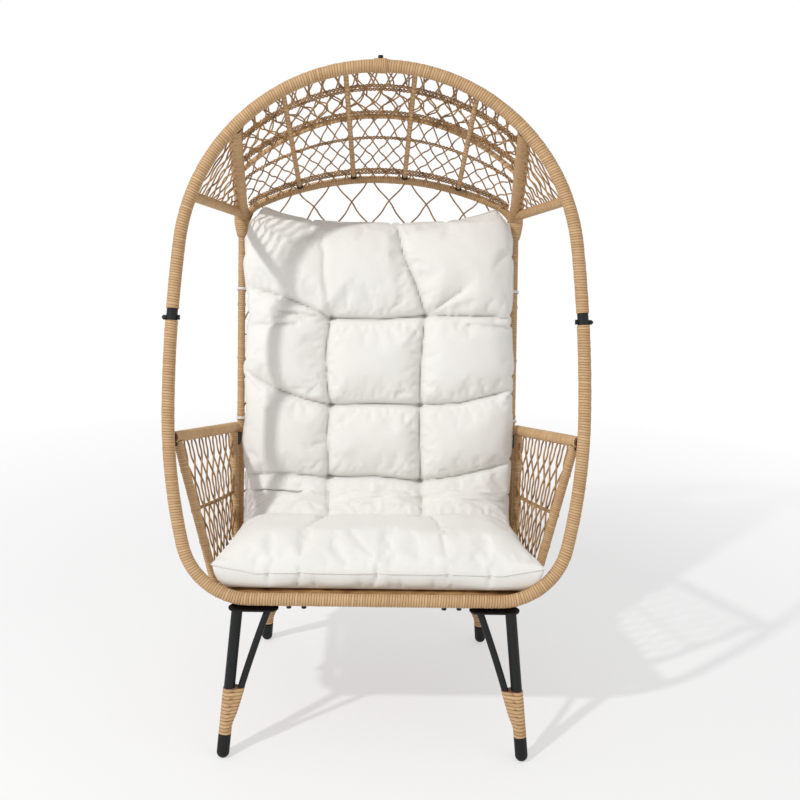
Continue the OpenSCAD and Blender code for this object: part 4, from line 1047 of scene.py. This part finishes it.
def binding(leg_at, leg_r, brace_r, toward, reach):
    """Wicker wound round a leg and the brace beside it, with a column of crossings between them"""
    low, high = 0.0523, 0.155
    pitch, sides, count = 0.0074, 48, len(STRIP)
    groove, crossing = 0.0014, 0.0017
    turns = int((high - low) / pitch)

    def outline(rise):
        """The line round two circles, the second moving away as the binding rises"""
        a = np.linspace(0, TAU, 241)[:-1]
        normal = np.stack([np.cos(a), np.sin(a)], 1)
        centre = np.array((toward * reach * rise ** 0.80, 0.0))
        leg = normal * leg_r
        brace = centre + normal * brace_r * min(1.0, 0.6 + 0.9 * rise)
        use = (brace * normal).sum(1) > (leg * normal).sum(1)
        ring = np.where(use[:, None], brace, leg)
        return spaced(np.vstack([ring, ring[:1]]), sides)
    outlines = [outline(k / turns) for k in range(turns + 1)]

    def place(i, j):
        points, painted_shades = np.empty((len(i), 3)), np.empty(len(i))
        lap, step = i // count, i % count
        for index in range(len(i)):
            level = min((lap[index] + STRIP[step[index]]) / turns, 1.0)
            row = level * turns
            base = int(min(row, turns - 1))
            ring = mixed(outlines[base], outlines[base + 1], row - base)[j[index] % sides]
            middle = math.exp(-((ring[0] - toward * reach * level * 0.45) / 0.0045) ** 2)
            weave = crossing * middle * min(1, 1.6 * level) * (1 if lap[index] % 2 else -1)
            dip = 1 - STRIP_HEIGHT[step[index]]
            grow = 1 - (groove * dip - weave) / max(np.linalg.norm(ring), 0.004)
            points[index] = leg_at(low + (high - low) * level) + np.append(ring * grow, 0)
            # Painted shade: deeper in the grooves, and darker on the laps that pass under at the column
            # of crossings
            painted_shades[index] = dip + 0.35 * middle * ((lap[index] + 1) % 2) * level
        return points, j / sides, lap + STRIP[step], np.clip(painted_shades, 0, 1)

    return rolled(turns * count, sides, place)


class Pad:
    """The cushion's shape: x across it, d along its underside from the front edge, in metres"""
    low, front, bend, crown, rim = 0.3647, 0.008, 0.070, 0.112, 0.050
    tufts = ((-0.117, 0.923), (0.118, 0.932), (-0.116, 0.707), (0.109, 0.709),
             (-0.119, 0.527), (0.112, 0.519), (-0.114, 0.250), (0.116, 0.262))
    # Creases as (depth, reach) and points x, d in millimetres
    creases = (
        (27, 24, (-117, 923), (0, 921), (118, 932)),
        (20, 20, (118, 932), (180, 931), (272, 933), (340, 925)),
        (12, 15, (225, 909), (335, 903)),
        (12, 16, (118, 932), (160, 960), (205, 992)),
        (20, 18, (-117, 923), (-170, 950), (-235, 975), (-300, 994), (-340, 1000)),
        (14, 15, (-117, 923), (-180, 930), (-240, 937)),
        (11, 14, (-200, 906), (-340, 902)),
        (27, 24, (-116, 707), (0, 712), (109, 709)),
        (22, 22, (-116, 707), (-180, 722), (-251, 746), (-345, 800)),
        (22, 22, (109, 709), (206, 716), (345, 752)),
        (27, 24, (-119, 527), (0, 530), (112, 519)),
        (20, 24, (-119, 527), (-230, 535), (-345, 530)),
        (20, 22, (112, 519), (200, 534), (345, 570)),
        (26, 26, (-114, 250), (0, 256), (116, 262)),
        (20, 26, (-114, 250), (-230, 252), (-345, 262)),
        (20, 26, (116, 262), (230, 262), (345, 268)),
        (12, 16, (-190, 468), (-270, 484), (-345, 476)),
        (21, 20, (-117, 923), (-126, 850), (-124, 770), (-116, 707)),
        (21, 20, (118, 932), (111, 850), (108, 780), (109, 709)),
        (20, 20, (-116, 707), (-122, 640), (-119, 580), (-119, 527)),
        (22, 20, (109, 709), (108, 640), (112, 519)),
        (15, 22, (-119, 527), (-117, 400), (-114, 250)),
        (16, 22, (112, 519), (115, 400), (116, 262)),
        (7, 26, (-114, 250), (-126, 180), (-150, 120)),
        (7, 26, (116, 262), (140, 180), (150, 130)),
        (6, 30, (-117, 923), (-128, 1010), (-134, 1090)),
        (19, 17, (118, 932), (98, 1000), (62, 1080), (42, 1172)),
    )
    left = ((0, 366), (60, 350), (150, 334), (256, 322), (380, 328), (526, 328), (610, 334),
            (708, 325), (800, 334), (925, 320), (1040, 335), (1100, 331), (1155, 312), (1190, 290))
    right = ((0, 384), (60, 360), (150, 344), (256, 331), (380, 334), (526, 338), (610, 341),
             (708, 340), (800, 342), (925, 334), (1040, 337), (1100, 334), (1155, 318), (1190, 296))

    def __init__(self):
        f = bpy.context.scene.chair_frame
        self.middle, lean = f.middle, f.back_lean
        self.turn = math.pi / 2 - lean
        self.up = np.array((math.sin(lean), math.cos(lean)))
        # The underside lies on the seat, bends, and rises close before the back frame's foot
        gap, back = 0.0042, 0.718
        rise = self.low - (f.rail_z + f.tube_r) - gap * math.sin(lean)
        y = f.back_y - gap * math.cos(lean) + rise * math.tan(lean)
        self.flat = y - self.front - self.bend * math.tan(self.turn / 2)
        self.bent = self.bend * self.turn
        self.length = self.flat + self.bent + back

    def bent_line(self, at, flat, r, off):
        """Points of a line off above the underside: flat, round a bend of radius r, then up the back"""
        centre = np.array((self.front + flat, self.low + off + r))
        a = np.clip((at - flat) / r, 0, self.turn)
        seat = np.stack([self.front + np.minimum(at, flat), np.full(np.shape(at), self.low + off)], -1)
        round_part = centre + r * np.stack([np.sin(a), -np.cos(a)], -1)
        wall = (centre + r * np.array((math.sin(self.turn), -math.cos(self.turn)))
                + (at - flat - r * self.turn)[..., None] * self.up)
        bend = (at > flat) & (at <= flat + r * self.turn)
        return np.where((at <= flat)[..., None], seat, np.where(bend[..., None], round_part, wall))

    def path(self, d, thick):
        """Depth and height of the point that lies thick above the underside's point d"""
        # The top's bend is kept open, so its straight parts are shorter than the underside's
        r = max(self.bend - self.crown, 0.024)
        lost = (self.crown + r - self.bend) * math.tan(self.turn / 2)
        flat, bent = self.flat - lost, r * self.turn
        rest = self.length - self.flat - self.bent - lost
        # Away from the bend, the top's line is measured in step with the underside's
        near = 0.055
        ends = (0, self.flat - near, self.flat + self.bent + near, self.length)
        top = np.interp(d, ends, (0, self.flat - near, flat + bent + near - lost, flat + bent + rest))
        top = np.where(d < ends[1], d, top)
        under = self.bent_line(d, self.flat, self.bend, 0.0)
        over = self.bent_line(top, flat, r, self.crown)
        return under + (over - under) * (thick / self.crown)[..., None]

    def carve(self, x, d, fine=False):
        """How deep the creases and tufts draw the top in, and how strong the fold lines are, which is
        also painted as shade on the cover
        """
        deep = np.zeros(np.shape(x))
        fold = np.zeros(np.shape(x))
        for depth, reach, *line in self.creases:
            far = np.full(np.shape(x), 9.0)
            for start, end in zip(line[:-1], line[1:]):
                ax, ad, bx, bd = (v / 1000 for v in (*start, *end))
                run = (bx - ax) ** 2 + (bd - ad) ** 2
                t = np.clip(((x - ax) * (bx - ax) + (d - ad) * (bd - ad)) / run, 0, 1)
                far = np.minimum(far, np.hypot(x - ax - t * (bx - ax), d - ad - t * (bd - ad)))
            deep = np.maximum(deep, 1.30 * depth / 1000 * np.exp(-(far / (reach / 1000)) ** 0.85))
            fold = np.maximum(fold, depth / 27 * np.exp(-(far / 0.0045) ** 1.6))
        for n, (tuft_x, tuft_d) in enumerate(self.tufts):
            far = np.hypot(x - tuft_x, d - tuft_d)
            deep = deep + 0.026 * np.exp(-(far / 0.016) ** 1.3)
            fold = np.maximum(fold, 1.25 * np.exp(-(far / 0.007) ** 2))
            if fine:
                # Soft folds that run out from the tuft
                turned = np.arctan2(d - tuft_d, x - tuft_x)
                ray = np.cos(7 * turned + 1.7 * n) + 0.6 * np.cos(11 * turned + 2.9 * n)
                deep = deep + 0.0017 * ray * np.exp(-far / 0.055) * np.clip(far / 0.022, 0, 1)
        if fine:
            ripple = np.sin(61 * x + 2.3 * np.sin(23 * d)) * np.sin(47 * d + 1.9 * np.sin(31 * x))
            deep = deep + 0.0075 * fold + 0.0009 * ripple
        return deep, fold

    def place(self, u, v, above, fine=False):
        """u from -1 to 1 across, v from 0 to 1 along, above tells the top from the underside"""
        d = v * self.length
        left, right = (np.interp(d * 1000, *zip(*edge)) / 1000 for edge in (self.left, self.right))
        # The top corners stand up as ears
        ear = 0.060 * np.clip((np.abs(u) - 0.35) / 0.57, 0, 1) ** 1.7
        ear = ear - 0.030 * np.clip((np.abs(u) - 0.92) / 0.08, 0, 1) ** 1.5
        d = d + ear * np.clip((v - 0.80) / 0.20, 0, 1)
        edge_x = np.where(u < 0, left, right)
        side = (1 - np.abs(u)) * edge_x
        ends = np.minimum(v, 1 - v) * self.length

        def near_corner(reach):
            return np.clip(1 - side / reach, 0, 1) * np.clip(1 - ends / reach, 0, 1)

        def full(reach, power):
            """1 inside, falling to 0 at the rim as a rounded edge does"""
            a = 1 - np.clip(side / reach, 0, 1)
            b = 1 - np.clip(ends / reach, 0, 1)
            return np.sqrt(np.maximum(0, 1 - a ** power)) * np.sqrt(np.maximum(0, 1 - b ** power))
        # The outline's corners are a little rounded
        x = u * edge_x * (1 - 0.02 * near_corner(0.030))
        # The creases run out towards the rim
        deep, fold = self.carve(x, d, fine)
        inside = np.clip(np.minimum(side, ends) / 0.045, 0, 1) ** 0.7
        deep = deep * inside
        # Its rim is thicker at the front corners and thinner at the ears
        corner = near_corner(0.10)
        front, rear = corner * (v < 0.5), corner * (v > 0.5)
        rim = self.rim + 0.020 * front - 0.006 * rear
        top_round, under_round = 0.105, 0.050
        top = rim + (self.crown - 0.002 - rim) * full(top_round, 2.1) * (1 - 0.35 * corner) - deep
        under = rim * (1 - full(under_round, 3.0)) + 0.012 * rear
        thick = np.where(above, np.maximum(top, under + 0.004 * full(0.030, 2.0)), under)
        flat = self.path(d, thick)
        points = np.stack([x, flat[..., 0] - self.middle, flat[..., 1]], -1)
        return points, d, thick, fold * inside * above


class CHAIR_OT_cushion(Maker, bpy.types.Operator):
    """Sew the cushion, fill it and draw in its tufts"""
    bl_idname = "egg_chair.cushion"
    bl_label = "Cushion"

    def execute(self, context):
        c = context.scene.chair_cushion
        pad, widest = Pad(), 0.66
        along, across = int(pad.length / c.cell), int(widest / c.cell)
        swell = None
        rough = finish_mesh("rough_cover", self.cover(pad, along, across, None), "cloth")
        swell = self.fill(context, rough, along, across, c)
        mesh = self.cover(pad, along * 2, across * 2, swell, fine=True)
        piece = finish_mesh("tufted_cushion", mesh, "cloth")
        self.seam(piece)
        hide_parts("cushion")
        return {"FINISHED"}

    def cover(self, pad, along, across, swell, fine=False):
        """The cover as a mesh: rings along the cushion, each over the top and back underneath"""
        def read(i, j):
            above = j <= across
            u = np.where(above, j, 2 * across - j) / across * 2 - 1
            return u, i / along, above

        def place(i, j):
            u, v, above = read(i, j)
            points, d, thick, fold = pad.place(u, v, above, fine)
            if swell is not None:
                points = points + self.between(swell, i / 2, j / 2)
            # Its last value is painted shade, from the fold lines' strength, halved and capped
            return points, u, v, np.clip(fold * 0.5, 0, 0.62) if fine else fold * 0

        def marks(i, j):
            """How firmly each point is held against the filling, from 0 to 1, and where it lies"""
            u, v, above = read(i, j)
            points, d, thick, fold = pad.place(u, v, above)
            crease = pad.carve(points[:, 0], d)[0]
            near = np.min([np.hypot(points[:, 0] - x, d - at) for x, at in pad.tufts], axis=0)
            edge = (np.abs(u) > 0.9999) | (v < 1e-6) | (v > 1 - 1e-6)
            held = (above & ((crease > 0.019) | (near < 0.010))) | (~above & (thick < 0.012))
            hold = np.select([held, edge, above & (crease > 0.014)], [1.0, 0.55, 0.5], 0.0)
            return {"hold": hold, "edge": edge, "ring": i, "side": j}
        return rolled(along, 2 * across, place, extra=marks)

    def between(self, swell, i, j):
        """The swelling of the rough cover, read between its points"""
        i0 = np.minimum(i.astype(int), swell.shape[0] - 2)
        j0 = np.minimum(j.astype(int), swell.shape[1] - 2)
        a, b = (i - i0)[:, None], (j - j0)[:, None]
        return mixed(mixed(swell[i0, j0], swell[i0 + 1, j0], a),
                     mixed(swell[i0, j0 + 1], swell[i0 + 1, j0 + 1], a), b)

    def fill(self, context, piece, along, across, c):
        """Swell the rough cover by cloth simulation, held at its tufts, seams and underside"""
        mesh = piece.data
        hold, ring, side = (gathered(mesh.attributes[mark].data, "value")
                            for mark in ("hold", "ring", "side"))
        hold = np.round(hold, 2)
        group = piece.vertex_groups.new(name="hold")
        for level in np.unique(hold):
            if level > 0:
                group.add(np.flatnonzero(hold == level).tolist(), float(level), "REPLACE")
        start = gathered(mesh.vertices, "co", 3)
        cloth = piece.modifiers.new("fill", "CLOTH")
        s = cloth.settings
        s.quality = 5
        s.mass = 0.3
        s.tension_stiffness = s.compression_stiffness = 18
        s.shear_stiffness = 8
        s.bending_stiffness = 0.8
        s.use_pressure = True
        s.uniform_pressure_force = c.pressure
        s.shrink_min = -0.035
        s.vertex_group_mass = "hold"
        s.pin_stiffness = 1.0
        s.effector_weights.gravity = 0
        cloth.collision_settings.use_collision = False
        cloth.point_cache.frame_start, cloth.point_cache.frame_end = 1, c.frames
        for step in range(1, c.frames + 1):
            context.scene.frame_set(step)
        shaped = piece.evaluated_get(context.evaluated_depsgraph_get())
        move = gathered(shaped.data.vertices, "co", 3) - start
        size = np.linalg.norm(move, axis=1)
        move *= np.minimum(1, c.cap / np.maximum(size, 1e-9))[:, None]
        context.scene.frame_set(1)
        bpy.data.objects.remove(piece)
        bpy.data.meshes.remove(mesh)
        # Points sewn together at the rim have one swelling
        swell = np.full((along + 1, 2 * across + 1, 3), np.nan)
        swell[np.rint(ring).astype(int), np.rint(side).astype(int)] = move
        swell = np.where(np.isnan(swell), swell[:, ::-1], swell)
        return np.nan_to_num(swell)

    def seam(self, piece):
        """A fine welt along the rim, where top and underside are sewn together"""
        bm = bmesh.new()
        bm.from_mesh(piece.data)
        layer = bm.verts.layers.float["edge"]
        rim = {v for v in bm.verts if v[layer] > 0.5}
        links = {v: [e.other_vert(v) for e in v.link_edges if e.other_vert(v) in rim] for v in rim}
        first = min(rim, key=lambda v: (round(v.co.z, 3), v.co.x))
        order = [first]
        while len(order) <= len(rim):
            following = [v for v in links[order[-1]] if v is not first and v not in order[-3:]]
            if not following:
                break
            order.append(following[0])
        points, normals = (np.array([getattr(v, key) for v in (*order, first)])
                           for key in ("co", "normal"))
        bm.free()
        proud, welt_r = 0.0006, 0.0013
        finish_mesh("cushion_welt", bundle([(points + normals * proud, normals)], welt_r, 8), "cloth")


class CHAIR_OT_ties(Maker, bpy.types.Operator):
    """Tie the cushion to the uprights"""
    bl_idname = "egg_chair.ties"
    bl_label = "Ties"

    def execute(self, context):
        f = context.scene.chair_frame
        # Two rings of cord at each of two heights on each upright
        low, corner, cord_r = 0.0105, 0.780, 0.0016
        out = ahead(f.back_lean)
        up = np.array((0, math.sin(f.back_lean), math.cos(f.back_lean)))
        a = np.linspace(0, TAU, 40)[:, None]
        circle = (f.back_r + 0.0022) * (np.cos(a) * np.array((1, 0, 0)) + np.sin(a) * out)
        strands = []
        for side in SIDES.values():
            for row in (5 / 14, 11 / 14):
                centre = back_at(side * f.back_half, low + (corner - low) * row)
                for shift in (-cord_r, cord_r):
                    ring = circle + up * (shift + 0.002 * np.sin(a))
                    strands.append((centre + ring, ring))
        dress("cushion_tie_cords", bundle(strands, cord_r, 8), "cloth", "cushion_ties")
        return {"FINISHED"}


class CHAIR_OT_studio(Maker, bpy.types.Operator):
    """Set up the camera, the floor and the lights"""
    bl_idname = "egg_chair.studio"
    bl_label = "Studio"

    def execute(self, context):
        s = context.scene.chair_studio
        camera = placed("camera", bpy.data.cameras.new("camera"), s.camera)
        look = Matrix.Rotation(math.pi / 2 - s.pitch, 4, "X") @ Matrix.Rotation(s.roll, 4, "Z")
        camera.rotation_euler = look.to_euler()
        camera.data.lens, camera.data.shift_x = s.lens, s.shift
        context.scene.camera = camera
        # A wide, flat floor, which fades to the backdrop's white
        bm = bmesh.new()
        bmesh.ops.create_grid(bm, x_segments=2, y_segments=2, size=12.0)
        mesh = bpy.data.meshes.new("floor")
        bm.to_mesh(mesh)
        bm.free()
        mesh.materials.append(self.floor_material(s.floor))
        placed("floor", mesh)
        self.backdrop(context.scene, s.backdrop)
        chair_middle = Vector((0, 0, 0.8))
        for name, place, size in (("key", (-3.32, -3.12, 4.7), 0.26), ("fill", (3.2, -2.6, 2.2), 2.5)):
            lamp = placed(name, bpy.data.lights.new(name, "AREA"), place)
            lamp.data.shape, lamp.data.size, lamp.data.energy = "DISK", size, getattr(s, name)
            aim = chair_middle - Vector(place)
            lamp.rotation_euler = aim.to_track_quat("-Z", "Y").to_euler()
        context.scene.view_settings.view_transform = "Standard"
        return {"FINISHED"}

    def backdrop(self, scene, strength):
        """A world that is white where it is seen, and lights the chair more softly"""
        scene.world = bpy.data.worlds.new("studio")
        scene.world.use_nodes = True
        nodes = Nodes(scene.world.node_tree)
        soft = nodes.tree.nodes["Background"]
        soft.inputs["Color"].default_value = WHITE
        soft.inputs["Strength"].default_value = strength
        plain = nodes.node("ShaderNodeBackground", {}, {"Color": WHITE, "Strength": 1.0})
        nodes.show(nodes.seen(), soft, plain, "World Output")

    def floor_material(self, tint):
        """Matte near the chair, where it takes the shadow, and fading to the backdrop's white"""
        f = Finish("pale floor", 0.9, 0.2)
        f.set(colour=f.mix(f.noise(f.place(), 3.0), tint, tuple(c * 0.985 for c in tint)))
        away = f.node("ShaderNodeVectorMath", {"operation": "LENGTH"}, {0: f.place()}, "Value")
        fade_from, fade_over = 1.1, 1.6
        far = ((away - fade_from) / fade_over).clamp()
        glow = f.node("ShaderNodeEmission", {}, {"Color": WHITE, "Strength": 1.0})
        f.show(f.seen() * (far * 0.5 + 0.5), f.shader, glow, "Material Output")
        return f.material


STEPS = ("finishes", "hoop", "canopy", "back", "arms", "legs", "cushion", "ties", "studio")


class CHAIR_PT_panel(bpy.types.Panel):
    """Lists the chair's pieces"""
    bl_idname = "CHAIR_PT_panel"
    bl_label = "Egg Chair"
    bl_space_type = "VIEW_3D"
    bl_region_type = "UI"
    bl_category = "Egg Chair"

    def draw(self, context):
        for step in STEPS:
            self.layout.operator(f"egg_chair.{step}")
        for group in GROUPS:
            box = self.layout.box()
            owner = getattr(context.scene, group)
            for key in owner.__annotations__:
                box.prop(owner, key)


GROUPS = {"chair_frame": CHAIR_PG_frame, "chair_wicker": CHAIR_PG_wicker,
          "chair_cushion": CHAIR_PG_cushion, "chair_finish": CHAIR_PG_finish,
          "chair_studio": CHAIR_PG_studio}
CLASSES = (CHAIR_OT_finishes, CHAIR_OT_hoop, CHAIR_OT_canopy, CHAIR_OT_back, CHAIR_OT_arms,
           CHAIR_OT_legs, CHAIR_OT_cushion, CHAIR_OT_ties, CHAIR_OT_studio, CHAIR_PT_panel)


def register():
    for group in GROUPS.values():
        bpy.utils.register_class(group)
    for item in CLASSES:
        bpy.utils.register_class(item)
    for name, group in GROUPS.items():
        setattr(bpy.types.Scene, name, PointerProperty(type=group))


def unregister():
    for name in GROUPS:
        delattr(bpy.types.Scene, name)
    for item in reversed(CLASSES):
        bpy.utils.unregister_class(item)
    for group in reversed(list(GROUPS.values())):
        bpy.utils.unregister_class(group)


def main():
    register()
    for step in STEPS:
        getattr(bpy.ops.egg_chair, step)()


if __name__ == "__main__":
    main()
